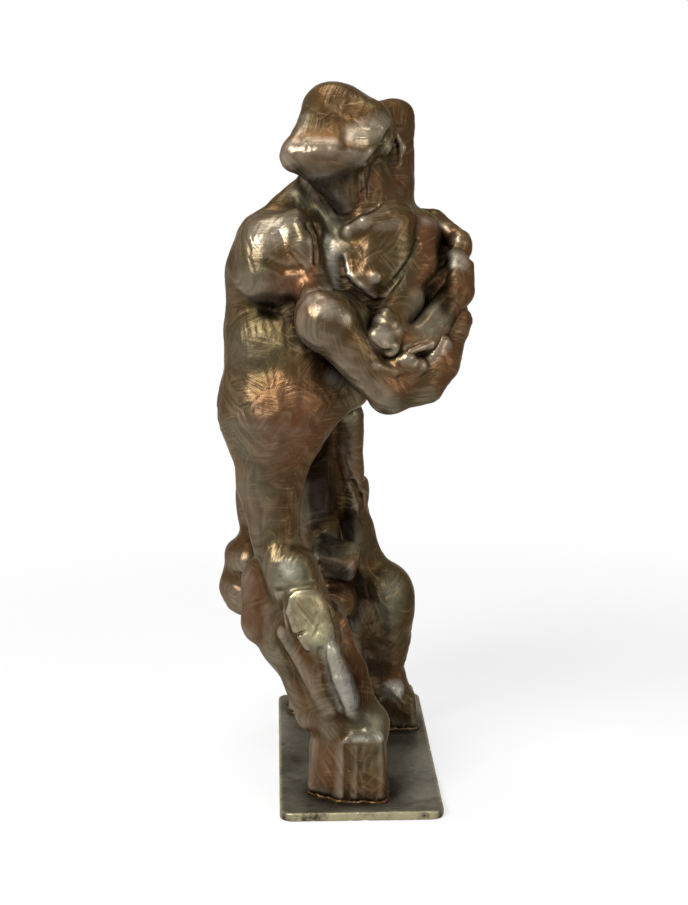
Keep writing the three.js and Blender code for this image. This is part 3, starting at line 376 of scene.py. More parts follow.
# Neck and head: the face is one sloping plane that ends below in a blunt ridge
def model_head(clay):
    add = clay.add
    add(limb(neck_pit(-6, 12, 2), neck_pit(-13, 18, 26), 15, 18), soft)
    add(limb(right_shoulder(16, 16, -2), neck_pit(-10, 24, 8), 13, 14), deep)
    add(limb(neck_pit(10, 10, 3), neck_pit(5, 12, 37), 22, 20), soft)
    add(limb(mane_top(0, 0, 2), nape, 12.5, 17.5), soft)
    add(limb(mane_top(-2, 16, -6), nape(-5, 22, -11), 15, 24), soft)
    add(ball(mane_top(-12, -6, -8), [15, 18, 20]), soft)
    head = Clay()
    head.add(slab(face(0, -9, -13), [25, 13, 24.5], 11, [-46, 7, 0], 0.08))
    head.add(limb(face(-14.5, 4, 6.5), face(-27.5, -18, -17), 9, 9), soft)
    head.add(ball(face(-6, 9, 9), [13, 13, 13.5]), deep)
    head.add(ball(face(19, -2, -6.5), [11, 13, 16]), deep)
    head.add(limb(face(-30, -20, -22), face(3.5, -21, -23), 8.5, 8), soft)
    head.carve(slab(face(-13, -29, -47), [34, 26, 15], 3, [-43, 0, 0]), 7)
    head.carve(slab(face(30, -26, -22), [12, 24, 30], 3, [0, 37, 0]), 4)
    head.add(ball(face(2, 14, -6), [22, 22, 24]), deep)
    head.add(limb(face(-8, -8, -27), neck_pit(-2, -4, 11), 18, 8), soft)
    head.add(limb(face(5, -8, -28), neck_pit(3, -3, 13), 11, 8), soft)
    model_ear(head)
    return head


# The ear: a thin bright fold in front, a softer rim behind and the lobe
def model_ear(head):
    ridge(head, face, [
        (30, 8, 0), (31.5, 6, -7.5), (26.5, 0, -16), (16.5, -8, -23), (12.5, -10, -27),
    ], 2.2, crisp)
    ridge(head, face, [(32.5, 14, -7), (37, 14, -17.5), (35, 12, -27.5), (27, 6, -33)], 2.4, crisp)
    head.add(ball(face(20.5, 0, -31.5), [5, 5, 5]), crisp)


def model_right_arm():
    clay = Clay()
    add = clay.add
    elbow, wrist = right_elbow, right_wrist
    add(ball(elbow, [16.5, 17, 19]))
    add(ball(elbow(12, -4, 2), [10, 10, 11]), soft)
    add(limb(elbow(9, 0, -7), wrist(-2, 0, 2), 16, 13), soft)
    add(limb(elbow(4, 14, 15), elbow(24, 8, 0), 5, 8), soft)
    add(limb(wrist(-20.5, -8, 26), wrist(-9.5, -8, 17), 4.5, 4.5), crisp)
    # the hand that lies under the other forearm, with its fingers round it
    knuckles = wrist(31.5, 14, 16)
    add(limb(wrist(1, 2, -3), wrist(22, 8, 3), 11, 11), soft)
    add(limb(wrist(22, 8, 3), knuckles, 11, 12), soft)
    add(limb(knuckles, wrist(45, 30, 40), 12, 9), soft)
    add(limb(wrist(-2, -2, 13.5), wrist(11.5, -6, 21.5), 7, 5), crisp)
    add(limb(wrist(11.5, -2, 8.5), wrist(18.5, -3, 16), 7, 5.5), crisp)
    add(limb(wrist(24, 2, 13), wrist(34, 8, 29.5), 6, 5), crisp)
    return clay


def model_left_arm():
    clay = Clay()
    add = clay.add
    elbow, wrist = left_elbow, left_wrist
    add(slab(elbow(1.5, 5, 1.5), [9, 8, 12], 6, [-16, 22, 14]))
    add(limb(elbow(-6.5, -2, -2), elbow(2, -4, -9), 5.5, 5.5), crisp)
    add(limb(elbow(1.5, 7, -8), elbow(24.5, 15, -8), 11, 11), soft)
    add(limb(elbow(11, 3, -13.5), elbow(27.5, 9, -10), 4.5, 4.5), crisp)
    add(limb(elbow(24.5, 15, -5.5), wrist, 11, 9), crisp)
    # a web of metal closes the space behind the forearm
    add(slab(elbow(29, 45, 9.5), [26, 5, 20], 4, [14, -24, 26]), soft)
    # the hand curls back to its own shoulder
    add(limb(wrist, wrist(4, 9, 14), 9, 6.5), crisp)
    add(limb(wrist(-1, 11, 20.5), wrist(0, 3, 6.5), 7, 7.5), crisp)
    add(ball(wrist(2, 17, 27.5), [8, 9, 10]), crisp)
    add(limb(wrist(1, 21, 31), wrist(-14, 27, 42.5), 7, 6.5), crisp)
    add(limb(wrist(-14, 27, 42.5), wrist(-20, 31, 43.5), 6.5, 6.5), crisp)
    add(slab(wrist(-5.5, 35, 15.5), [12, 5, 22], 4, [0, 0, 30]), soft)
    return clay


# Finer work: the thin ridges and creases that the modelling tools left
def detail_torso(clay):
    # the crisp lower corner of the left breast, the rib below it and the groove to the arm
    crease(clay, left_shoulder, [
        (-53.5, -50, 4), (-51, -53, -6.5), (-42.5, -56.5, -13.5), (-32.5, -54.5, -21.5),
    ], 2.6, 4)
    ridge(clay, left_shoulder, [
        (-49.5, -48, 7.5), (-48, -51.5, -3), (-40.5, -55, -10), (-31.5, -52.5, -17.5),
    ], 1.4, 1.5)
    crease(clay, left_shoulder, [
        (-4.5, -40.5, 14.5), (-9.5, -49.5, 4), (-19, -56, -6.5), (-26, -57, -16),
    ], 2.2)
    # collar bone, and the hollow that leads down from the pit of the neck
    crease(clay, neck_pit, [(-4, -10.5, -0.5), (6, -14.5, 4), (17, -12.5, 10.5)], 2.2)
    ridge(clay, neck_pit, [(-1.5, -9.5, -4.5), (8.5, -13.5, 0.5), (21, -10, 7)], 2.4, 6)
    crease(clay, chest, [(5, -31, 44), (1, -37.5, 33.5), (3.5, -38.5, 22.5)], 4, 5)
    # the ridge and the combed planes at the front of the right shoulder
    ridge(clay, right_shoulder, [(16, -23, 15.5), (19, -26, 6.5), (21.5, -26.5, -4)], 4.2, 8)
    crease(clay, right_shoulder, [(21.5, -25, 17), (26, -27.5, 6.5), (26, -30, -5)], 0.6, 4)
    crease(clay, right_shoulder, [(27, -22, 16.5), (31, -24.5, 6), (30.5, -27, -5)], 0.6, 4)
    crease(clay, right_shoulder, [(-3, -32, -4.5), (7, -32, -9.5), (16.5, -32, -8.5)], 0.8, 4)
    # rib and tendon between the breast and the elbow
    ridge(clay, left_shoulder, [(-56.5, -76, -15), (-49.5, -78, -20), (-40.5, -70, -28)], 2.2, 3)


def detail_body(clay):
    # knee, calf plate with its border, shin and pastern
    crease(clay, front_knee, [(-8, -15, -9.5), (1, -18, -8), (16, -16.5, -6.5)], 1, 2.5)
    crease(clay, front_knee, [
        (-0.5, -18.5, -11), (-2.5, -18, -23), (1.5, -18, -36), (9.5, -18, -49),
    ], 1.3, 2.5)
    crease(clay, front_knee, [(24.5, -14, -16.5), (29, -17, -27.5), (31.5, -15, -42.5)], 1.6)
    ridge(clay, front_knee, [
        (1.5, -18.5, -13.5), (0, -19.5, -22.5), (4, -20, -34), (11.5, -18.5, -46.5),
    ], 1.5, 1.5)
    crease(clay, front_knee, [(6, -22.5, -18.5), (14, -23.5, -28), (22.5, -21.5, -37.5)], 1.1, 1)
    crease(clay, front_knee, [(3, -19, -38), (12, -23, -34)], 1.1, 1)
    crease(clay, front_knee, [(14.5, -22, -40), (20.5, -22, -28.5)], 1.1, 1)
    ridge(clay, front_knee, [(26.5, -19, -46.5), (30.5, -20.5, -65.5), (38.5, -20, -88)], 1.8, 4)
    crease(clay, front_knee, [(20.5, -20, -48.5), (23.5, -20, -68), (30.5, -19.5, -85.5)], 1.2, 4)
    # the hoof's worn top step, its corner and its combed front
    ridge(clay, front_hoof, [
        (-3.5, -18, 39), (0.5, -16.5, 44), (9, -17, 45.5), (18, -17, 40.5),
    ], 1.3, 2.5)
    crease(clay, front_hoof, [(-3.5, -19.5, 37), (-3, -21, 21.5), (-3.5, -21.5, 2)], 1.1, 2.5)
    for along in range(0, 20, 5):
        ridge(clay, front_hoof, [(3 + along, -18.5, 35.5), (2.5 + along, -21, 3)], 1.6, 1.5)
    # stifle knob and the far pastern
    crease(clay, left_stifle, [(0.5, -31, 19), (6, -25, 8), (8, -17, -5)], 1.2, 3)
    ridge(clay, left_hind_hoof, [(-6.5, -17.5, 22), (0.5, -19, 29.5), (9, -16, 19.5)], 1.8)


def detail_head(head):
    # the worn front of the ear, and the corner under the cheek
    ridge(head, face, [
        (29.5, -1.5, -6.5), (25.5, -2.5, -13), (21, -6.5, -19), (12, -25.5, -25),
    ], 1.3, 1.5)
    ridge(head, face, [(10.5, -18.5, -33), (12.5, -11, -42), (14, -11.5, -50.5)], 1.2, 3)


def detail_arms(right_arm, left_arm):
    # the combed elbow, the knuckles and the tool marks on both forearms
    for step in range(5):
        start = right_elbow(-11 + 0.5 * step, 2, 16.5 - 3.4 * step)
        crease(right_arm, start, [(0, 0, 0), (8, -1.2, -1.5), (15, 0.6, -4)], 1.2, 1.2)
    ridge(right_arm, right_wrist, [(-8.5, -12.5, 18), (2.5, -8.5, 13.5), (13.5, -7, 15.5)], 2.2, 3)
    crease(left_arm, left_elbow, [(-9, -7, -8), (-4, -6, -12.5), (3, -9.5, -11)], 1.6)
    ridge(left_arm, left_wrist, [(-33.5, -42, -31.5), (-20.5, -34, -28), (-10, -22.5, -21)], 2.4, 3)
    crease(left_arm, left_wrist, [(-22, -34, -19), (-14, -26.5, -13), (-7, -18, -4)], 1.6, 4)


def modelled_figure():
    body = Clay()
    masses = [
        model_forequarter, model_right_foreleg, model_hindquarters, model_left_hind_leg,
        model_right_hind_leg, model_tail, model_left_foreleg, model_torso,
    ]
    for model in masses:
        model(body)
    head = model_head(body)
    detail_torso(body)
    detail_body(body)
    detail_head(head)
    return [body, head]


def model_plate():
    """The plate, with the cracks and nicks along its edges and the sinkings for its screws."""
    width, length = ((high - low) / MM for low, high in zip(plate_low.xy, plate_high.xy))
    clay = Clay()
    clay.add(plate_form(width, length, plate_top, plate_corner, plate_edge))
    left, right = Point([-width / 2, 0, 0]), Point([width / 2, 0, 0])
    crease(clay, left, [(-1, -44, 0.6), (7, -45, 0.6), (14, -43, 0.9)], 1.3, 1)
    crease(clay, right, [(1, -52, 0.6), (-8, -53, 0.7), (-13, -51, 0.9)], 1.3, 1)
    crease(clay, left, [(-1, 8, 0.6), (5, 9, 0.8)], 1.2, 1)
    crease(clay, right, [(1, 34, 0.6), (-6, 33, 0.8)], 1.2, 1)
    for x, y in screw_places:
        low, high = [x, y, -2 * plate_top], [x, y, -plate_top + screw_sinking]
        clay.carve(limb(low, high, screw_head, screw_head))
    return clay


# Where the patina changes, and where highlights and shade are painted: forms that colour the skin
# inside them, and how wide their edge is
def patina_and_painted_light_zones():
    return {
        "gold": [
            (ball(front_knee(13, -21, -25), [11, 13, 19], [3, -24, 4]), 9),
        ],
        # painted highlights in pale silver: along the shin, on the hooves, the knee, the breastbone,
        # the breast's lower edge and the ear
        "silver_highlight": [
            (limb(front_knee(26.5, -19.5, -47.5), front_knee(35, -20, -80), 3, 4.5), 12),
            (limb(front_hoof(0.5, -16, 41), front_hoof(17, -16.5, 41), 2.5, 2.5), 4),
            (ball(left_hind_hoof(0.5, -18, 29.5), [7, 10, 7]), 5),
            (ball(front_knee(0, -13, 3), [3, 4, 4]), 8),
            (limb(chest(3, -32.5, 36.5), chest(4.5, -39, 9), 2.5, 2.5), 6),
            (limb(left_shoulder(-49, -49.5, 1.5), left_shoulder(-46, -53, -6), 1.5, 1.5), 2),
            (limb(left_shoulder(-45, -54, -7), left_shoulder(-34, -54, -15.5), 1, 1), 2),
            (limb(face(30, -0.5, -9.5), face(23, -4, -19), 0.9, 0.9), 2),
        ],
        "green": [
            (limb(chest(5, -26.5, 46), chest(4.5, -54, 6), 8, 8), 9),
            (ball(front_knee(20.5, -19, -41), [9, 10, 12]), 8),
            (ball(front_knee(0.5, -13.5, 0.5), [10, 10, 11]), 5),
            (ball(folded_knee(0.5, 4, 23), [16, 16, 9]), 5),
            (ball(left_elbow(26.5, 14.5, 7), [15, 18, 14]), 12),
            (ball(front_knee(49.5, -17, -97), [11, 14, 9]), 10),
            (limb(neck_pit(-31.5, 18, 18.5), neck_pit(-14.5, -0.5, 4.5), 5, 5), 10),
            (ball(left_hock(6, -21, 2.5), [6, 16, 14]), 14),
        ],
        "red": [
            (ball(right_wrist(5, -7.5, 8), [13, 12, 9]), 9),
            (ball(left_shoulder(-37.5, -53.5, -20.5), [11, 10, 8]), 9),
            (limb(left_shoulder(0, -30.5, 25), left_shoulder(-1, -45, -11), 8, 8), 10),
            (limb(left_hock(-21.5, -58, 40), left_hock(-22, -133.5, -19), 10, 10), 16),
            (ball(hip(16, -39, -16), [22, 30, 30]), 30),
            (ball(right_shoulder(16.5, -33.5, -21.5), [16, 20, 16]), 20),
            (ball(front_knee(-21.5, 15, -24), [12, 20, 24]), 20),
            (ball(front_hoof(-13.5, -12.5, 19), [10, 16, 16]), 14),
            (limb(face(-2, -7, -55.5), face(15, -8, -36), 6, 8), 12),
        ],
        # painted highlights: pale patches where highlights fall on the shoulder, face, elbows, knuckles
        # and fingers
        "rubbed_and_highlight": [
            (limb(right_shoulder(-6.5, -23, 10.5), right_shoulder(9.5, -20, 16.5), 9, 8), 12),
            (limb(right_shoulder(17, -25, 12), right_shoulder(19.5, -27, 0), 2, 2), 4),
            (limb(face(-33, -25, -15.5), face(-8.5, -28, -16), 5, 5), 7),
            (limb(face(-2.5, -28, -20.5), face(6, -29, -19.5), 3, 3), 6),
            (limb(face(7.5, -21, -9.5), face(22.5, -14.5, -4), 6.5, 6.5), 10),
            (limb(right_elbow(-9, -4, 13.5), right_elbow(4, -13, 7.5), 5.5, 5.5), 7),
            (limb(right_elbow(9, -13.5, 6), right_elbow(14, -13.5, 1.5), 3, 3), 6),
            (ball(left_elbow(-3.5, -6, -3.5), [7, 6, 7]), 5),
            (limb(left_elbow(-4, -0.5, 7), left_elbow(6, -1.5, 0.5), 3, 3), 5),
            (limb(right_wrist(9.5, -8.5, 21), right_wrist(13.5, -7.5, 19.5), 3, 3), 4),
            (limb(right_wrist(25.5, 0.5, 20.5), right_wrist(35.5, 5, 28.5), 3, 3), 5),
            (ball(left_wrist(0.5, 3.5, 18.5), [5, 6, 6]), 5),
            (limb(left_wrist(-22, 3, 44), left_wrist(-7, 20, 38.5), 2, 2), 5),
            (limb(face(-23, -10, 2), face(-26.5, -19, -7), 2, 2), 6),
            (limb(left_shoulder(-31, -48, 26), left_shoulder(-18.5, -45.5, 27), 1.5, 1.5), 8),
            (limb(right_elbow(6, 15, -40), right_elbow(26.5, 27, -57.5), 4, 4), 9),
        ],
        # painted shade: dark zones where shade falls, under the head, under the arms, round the hands
        # and between the legs
        "painted_shade": [
            (limb(left_stifle(-22.5, -48, 41), left_stifle(-18.5, -33.5, 2), 17, 15), 18),
            (limb(folded_knee(7, -3, 4.5), folded_knee(10.5, 49, -41), 9, 9), 12),
            (ball(right_shoulder(-2, -15.5, -36.5), [11, 12, 5]), 8),
            (limb(neck_pit(-30.5, 15, 25), neck_pit(-12, -1.5, 8.5), 7, 6), 12),
            (ball(left_wrist(-8, 11.5, 18), [9, 16, 14]), 10),
            (ball(left_hock(-26, -139, -24), [14, 24, 20]), 20),
            (limb(face(-17, -15, -37.5), face(-3.5, -9, -51.5), 14, 10), 10),
            (limb(face(-27, -20.5, -30), face(1, -23, -31), 6, 6), 9),
            (ball(left_wrist(-10.5, -10.5, -3.5), [8, 14, 16]), 10),
            (limb(left_stifle(1, -17, 3.5), left_stifle(2.5, -7, -19.5), 5, 5), 8),
        ],
    }


# The middles of the faces where the castings part
knee_joint = front_knee(-8, 8, 16)
folded_leg_joint = folded_knee(-11, 31, 38)
left_hind_joint = left_hock(-2, 0, 7)
right_hind_joint = right_hock(4, -1, 18)
tail_joint = tail_root(5, 5.5, -30)
withers_joint = withers(1, 25.6, -4)
neck_joint = neck_pit(5, 15, 22)
waist_joint = chest(-22, -3, -34)
tail_lean = -4
withers_lean = -20


def level(point):
    return point, [0, 0, 1]


def leaning(point, angle):
    """A joint's face that stands upright and leans by this angle about X."""
    lean = math.radians(angle)
    return point, [0, math.cos(lean), math.sin(lean)]


joint_faces = {
    "right_foreleg": level(knee_joint),
    "left_foreleg": level(folded_leg_joint),
    "tail": leaning(tail_joint, tail_lean),
    "left_hind_leg": level(left_hind_joint),
    "right_hind_leg": level(right_hind_joint),
    "hindquarters": leaning(withers_joint, withers_lean),
    "head": level(neck_joint),
    "torso": level(waist_joint),
}

# Limits of the spaces between the legs, and a length past everything
behind_foreleg = folded_knee[1] - 18
above_folded_leg = folded_knee[2] - 14
between_hind_legs = left_hind_hoof[0] - 36
above_fetlock = 70
haunch_front = 15.3
haunch_depth = 162
haunch_rise = 78
under_soles = -20
beyond = 400

# The space of each casting, as its blocks' corners and lean, in the order of the cuts
knee_space = (
    [knee_joint[0] - 40, front_hoof[1] - 60, under_soles],
    [front_hoof[0] + 50, behind_foreleg, knee_joint[2]],
)
folded_corner = [folded_knee[0] + 22, folded_knee[1] + 34, folded_leg_joint[2]]
folded_back = [folded_knee[0] + 8, folded_knee[1] + 51, folded_leg_joint[2]]
folded_hoof = [folded_knee[0] + 2, folded_knee[1] + 54, above_folded_leg]
hock_space = (
    [left_hock[0] - 27, left_hock[1] - 28, under_soles],
    [left_hock[0] + 50, left_hock[1] + 52, left_hind_joint[2]],
)
right_hock_corner = [right_hock[0] + 34, right_hock[1] + 62, right_hind_joint[2]]
pastern_space = (
    [right_hock[0] - 50, right_hock[1] - 46, under_soles],
    [between_hind_legs, right_hind_hoof[1] + 25, above_fetlock],
)
haunch_space = (
    withers_joint(-beyond, -haunch_front, -haunch_depth),
    withers_joint(beyond, beyond, haunch_rise),
    withers_lean,
)
spaces = {
    "right_foreleg": [knee_space],
    "left_foreleg": [
        (folded_knee(-34, -28, -62), folded_corner),
        (folded_knee(-29, -28, -62), folded_back),
        (folded_knee(-34, -28, -62), folded_hoof),
    ],
    "tail": [
        (tail_joint(-21, 0, -68), tail_joint(51, 74, 68), tail_lean),
        (tail_tip(-14, -18, -8), tail_tip(30, 60, 48)),
    ],
    "left_hind_leg": [hock_space],
    "right_hind_leg": [(right_hock(-50, -46, -50), right_hock_corner), pastern_space],
    "hindquarters": [haunch_space],
    "head": [([-beyond, -beyond, neck_joint[2]], [beyond, beyond, beyond + neck_joint[2]])],
    "torso": [([-beyond, -beyond, waist_joint[2]], [beyond, beyond, beyond + waist_joint[2]])],
}
joint_reach = 75
marked = ["hollow", "hollow_wide", *patina_and_painted_light_zones()]


def shaped(clay, values, corners, span, points_of):
    """Works the clay's steps into the values of every block that they reach."""
    for shape, blend, carves in clay.steps:
        reach = blend + 2 * clay_cell
        near = np.all((corners < shape.high + reach) & (corners + span > shape.low - reach), axis=1)
        if near.any():
            points = points_of(corners[near])
            away = shape.distance(points.reshape(-1, 3)).reshape(points.shape[:2])
            held = values[near]
            values[near] = -melt(-held, away, blend) if carves else melt(held, away, blend)
    return values


def field(lumps):
    """The lumps' distances on a lattice, exact near the skin and a far value elsewhere, and its
    low corner. All lattices share their cells, so that one can be laid on another."""
    span = block_cells * clay_cell
    shapes = [shape for clay in lumps for shape, _, carves in clay.steps if not carves]
    low = np.floor(np.min([shape.low for shape in shapes], 0) / span - 1) * span
    high = np.max([shape.high for shape in shapes], 0) + span
    counts = np.ceil((high - low) / span).astype(int)
    index = np.stack(np.unravel_index(np.arange(counts.prod()), counts), -1)
    corners = (low + index * span).astype(np.float32)
    steps = np.arange(block_cells)
    offsets = np.stack(np.meshgrid(steps, steps, steps, indexing="ij"), -1).reshape(-1, 3)
    offsets = (offsets * clay_cell).astype(np.float32)
    middle = np.float32(span / 2)

    def worked(places, points_of):
        total = None
        for clay in lumps:
            sizes = (len(places), points_of(places[:1]).shape[1])
            own = shaped(clay, np.full(sizes, far, np.float32), places, span, points_of)
            total = own if total is None else np.minimum(total, own)
        return total

    rough = worked(corners, lambda places: places[:, None] + middle)[:, 0]
    near_skin = np.abs(rough) < span
    grid = np.where(rough < 0, -far, far).astype(np.float32).reshape(counts)
    for axis in range(3):
        grid = np.repeat(grid, block_cells, axis)
    fine = worked(corners[near_skin], lambda places: places[:, None] + offsets)
    view = grid.reshape(counts[0], block_cells, counts[1], block_cells, counts[2], block_cells)
    view = view.transpose(0, 2, 4, 1, 3, 5)
    i, j, k = index[near_skin].T
    view[i, j, k] = fine.reshape(-1, block_cells, block_cells, block_cells)
    return grid, low


# The eight corners of a cell
cube = [(a, b, c) for a in (0, 1) for b in (0, 1) for c in (0, 1)]


def skin(grid):
    """Corner points in lattice steps and four-sided faces of the surface where grid is nothing."""
    inside = grid < 0
    cells = np.array(grid.shape) - 1

    def shifted(values, corner):
        return values[tuple(slice(s, s + n) for s, n in zip(corner, cells))]

    count = sum(shifted(inside, corner).astype(np.int8) for corner in cube)
    places = np.nonzero((count > 0) & (count < 8))
    number = np.full(cells, -1, np.int32)
    number[places] = np.arange(len(places[0]))
    value = {corner: grid[tuple(p + s for p, s in zip(places, corner))] for corner in cube}
    total = np.zeros((len(places[0]), 3), np.float32)
    crossings = np.zeros(len(places[0]), np.float32)
    for corner in cube:
        for axis in range(3):
            if corner[axis]:
                continue
            other = tuple(1 if n == axis else s for n, s in enumerate(corner))
            a, b = value[corner], value[other]
            crossed = (a < 0) != (b < 0)
            place = np.zeros_like(total) + np.array(corner, np.float32)
            place[:, axis] = np.where(crossed, a / np.where(crossed, a - b, 1), 0)
            total += place * crossed[:, None]
            crossings += crossed
    points = np.stack(places, -1) + total / crossings[:, None]
    faces = []
    for axis in range(3):
        across = [(axis + 1) % 3, (axis + 2) % 3]
        here = [slice(1, -1)] * 3
        there = [slice(1, -1)] * 3
        here[axis] = slice(0, -1)
        there[axis] = slice(1, None)
        edges = np.stack(np.nonzero(inside[tuple(here)] != inside[tuple(there)]), -1)
        edges[:, across] += 1
        leaving = inside[tuple(edges.T)]
        ring = []
        for u, v in ((0, 0), (1, 0), (1, 1), (0, 1)):
            cell = edges.copy()
            cell[:, across[0]] -= u
            cell[:, across[1]] -= v
            ring.append(number[tuple(cell.T)])
        ring = np.stack(ring, -1)
        faces.append(np.where(leaving[:, None], ring, ring[:, ::-1]))
    return points.astype(np.float32), np.concatenate(faces)


def read_grid(grid, places):
    """The grid's values at places between its points, and their slope along each axis."""
    base = np.floor(places).astype(int)
    base = np.clip(base, 0, np.array(grid.shape) - 2)
    share = (places - base).astype(np.float32)
    value = np.zeros(len(places), np.float32)
    slope = np.zeros((len(places), 3), np.float32)
    for corner in cube:
        held = grid[tuple((base + corner).T)]
        weights = [share[:, n] if s else 1 - share[:, n] for n, s in enumerate(corner)]
        value += held * weights[0] * weights[1] * weights[2]
        for axis in range(3):
            others = weights[(axis + 1) % 3] * weights[(axis + 2) % 3]
            slope[:, axis] += held * others * (1 if corner[axis] else -1)
    return value, slope


def settled(points, grid):
    """The points drawn onto the surface itself, which a mean of crossings cuts short at edges."""
    flattest, furthest = 0.3, 0.4
    close = np.clip(grid, -2 * clay_cell, 2 * clay_cell) / clay_cell
    for _ in range(2):
        value, slope = read_grid(close, points)
        steep = np.maximum(np.einsum("ij,ij->i", slope, slope), flattest)
        move = -slope * (value / steep)[:, None]
        points = points + np.clip(move, -furthest, furthest)
    return points


def metres(points):
    """Places on the figure, in millimetres above the plate, as Blender's metres."""
    return (np.asarray(points, np.float64) + [0, 0, plate_top]) * MM


def millimetres(points):
    return points / MM - [0, 0, plate_top]


def blender_mesh(name, points, corners, starts):
    """A mesh of faces that may differ in their number of corners, each starting at its start."""
    mesh = bpy.data.meshes.new(name)
    mesh.vertices.add(len(points))
    mesh.vertices.foreach_set("co", np.asarray(points, np.float32).ravel())
    mesh.loops.add(len(corners))
    mesh.loops.foreach_set("vertex_index", np.asarray(corners, np.int32))
    mesh.polygons.add(len(starts))
    mesh.polygons.foreach_set("loop_start", np.asarray(starts, np.int32))
    mesh.update(calc_edges=True)
    mesh.polygons.foreach_set("use_smooth", np.ones(len(starts), bool))
    mesh.validate()
    return mesh


def shown(name, mesh):
    piece = bpy.data.objects.new(name, mesh)
    bpy.context.scene.collection.objects.link(piece)
    return piece


def read(items, name, width=1, kind=np.float32):
    """One property of all of a mesh's items, as an array."""
    values = np.empty(width * len(items), kind)
    items.foreach_get(name, values)
    return values if width == 1 else values.reshape(-1, width)


def vertices_of(mesh):
    return read(mesh.vertices, "co", 3)


def give(mesh, name, values):
    attribute = mesh.attributes.new(name, "FLOAT", "POINT")
    attribute.data.foreach_set("value", np.asarray(values, np.float32))


def sculpted(name, lumps):
    """The skin of the clay as a piece, and the lattice that it was taken from."""
    grid, low = field(lumps)
    points, faces = skin(grid)
    points = settled(points, grid) * clay_cell + low
    mesh = blender_mesh(name, metres(points), faces.ravel(), np.arange(len(faces)) * 4)
    return shown(name, mesh), grid, low


def mellowed(values, radius, times=2):
    """The values averaged over a cube of this many cells each way, more than once."""
    for _ in range(times):
        for axis in range(3):
            padded = np.insert(np.cumsum(values, axis), 0, 0, axis)
            size = values.shape[axis]
            last = np.minimum(np.arange(size) + radius + 1, size)
            first = np.maximum(np.arange(size) - radius, 0)
            spread = (last - first).reshape([-1 if n == axis else 1 for n in range(3)])
            values = (np.take(padded, last, axis) - np.take(padded, first, axis)) / spread
    return values


# How far round a place its hollows are felt, in millimetres
near_reach = 2.5
wide_reach = 11


def solid_share(grids):
    """How much of the space round a place is metal, on a lattice twice as coarse, near and wide."""
    step = 2 * clay_cell
    low = np.min([corner for _, corner in grids], 0)
    high = np.max([corner + np.array(grid.shape) * clay_cell for grid, corner in grids], 0)
    share = np.zeros(np.rint((high - low) / step).astype(int), np.float32)
    heights = low[2] + (np.arange(share.shape[2]) + 0.5) * step
    share[:, :, heights < 0] = 1
    for grid, corner in grids:
        halves = (grid < 0).reshape([n for size in grid.shape for n in (size // 2, 2)])
        filled = halves.mean((1, 3, 5), dtype=np.float32)
        place = np.rint((corner - low) / step).astype(int)
        part = tuple(slice(p, p + n) for p, n in zip(place, filled.shape))
        share[part] = np.maximum(share[part], filled)
    near = mellowed(share, max(round(near_reach / step), 1))
    wide = mellowed(share, round(wide_reach / step))
    return low, step, near, wide


def note_hollows(mesh, shares):
    """Marks each point of a mesh as hollow, above nothing, or proud, below it, near and wide."""
    low, step, near, wide = shares
    places = (millimetres(vertices_of(mesh)) - low) / step - 0.5
    for name, share in (("hollow", near), ("hollow_wide", wide)):
        value, _ = read_grid(share, places)
        give(mesh, name, 2 * value - 1)


def note_zones(mesh):
    """Marks how far each point of a mesh lies in each zone of patina, painted highlight and painted
    shade.
    """
    places = millimetres(vertices_of(mesh))
    for name, forms in patina_and_painted_light_zones().items():
        shares = [np.clip(0.5 - shape.distance(places) / edge, 0, 1) for shape, edge in forms]
        give(mesh, name, np.max(shares, 0))


def hand_work():
    """Geometry nodes that press thumb marks and draw long strokes into the clay's skin."""
    depths = ["Press depth", "Stroke depth"]
    tree, board, sockets, taken = new_tree("hand_work", "Skin", depths)
    place = board.node("GeometryNodeInputPosition")
    height = board.node("ShaderNodeSeparateXYZ", None, {0: place}, output="Z")
    smooth = {"feature": "SMOOTH_F1"}
    inputs = {"Vector": board.bent(place, 45.0, 0.008), "Scale": 75.0, "Smoothness": 0.4}
    cells = board.node("ShaderNodeTexVoronoi", smooth, inputs)
    strokes = board.strokes(place, 22.0, 0.0055, 0.045, 3.0)
    # the hand work is shallower on the polished calf plate and on the painted highlights
    polish_and_highlight = board.field("gold").math("MAXIMUM", board.field("silver_highlight"))
    share = height.ramp(0.008, 0.02) * (1 - 0.75 * polish_and_highlight)
    depth = (cells - 0.45) * taken["Press depth"] + (strokes - 0.5) * taken["Stroke depth"]
    finished(board, taken["Skin"], depth * share, taken["Finish"])
    return tree, sockets


def evaluated(piece, tree, sockets, **values):
    """Runs a tree of geometry nodes on a piece, and leaves the result as its plain mesh."""
    modifier = piece.modifiers.new(tree.name, "NODES")
    modifier.node_group = tree
    for name, value in values.items():
        modifier[sockets[name.replace("_", " ")]] = value
    graph = bpy.context.evaluated_depsgraph_get()
    graph.update()
    mesh = bpy.data.meshes.new_from_object(piece.evaluated_get(graph))
    piece.modifiers.remove(modifier)
    piece.data = mesh


def kept_within(piece, corners, margin=0.00002):
    """Draws the points of a piece in to the box of the object's solids."""
    low, high = (np.array(corner) for corner in corners)
    points = np.clip(vertices_of(piece.data), low + margin, high - margin)
    piece.data.vertices.foreach_set("co", points.astype(np.float32).ravel())
    piece.data.update()


def note_edges(mesh):
    """Marks the rim of the plate's top, where its patina wears off first."""
    places = np.abs(vertices_of(mesh)[:, :2])
    inward = (np.array(plate_high.xy) - places).min(1) / MM
    give(mesh, "edge", np.clip(1 - inward / rim_width, 0, 1))


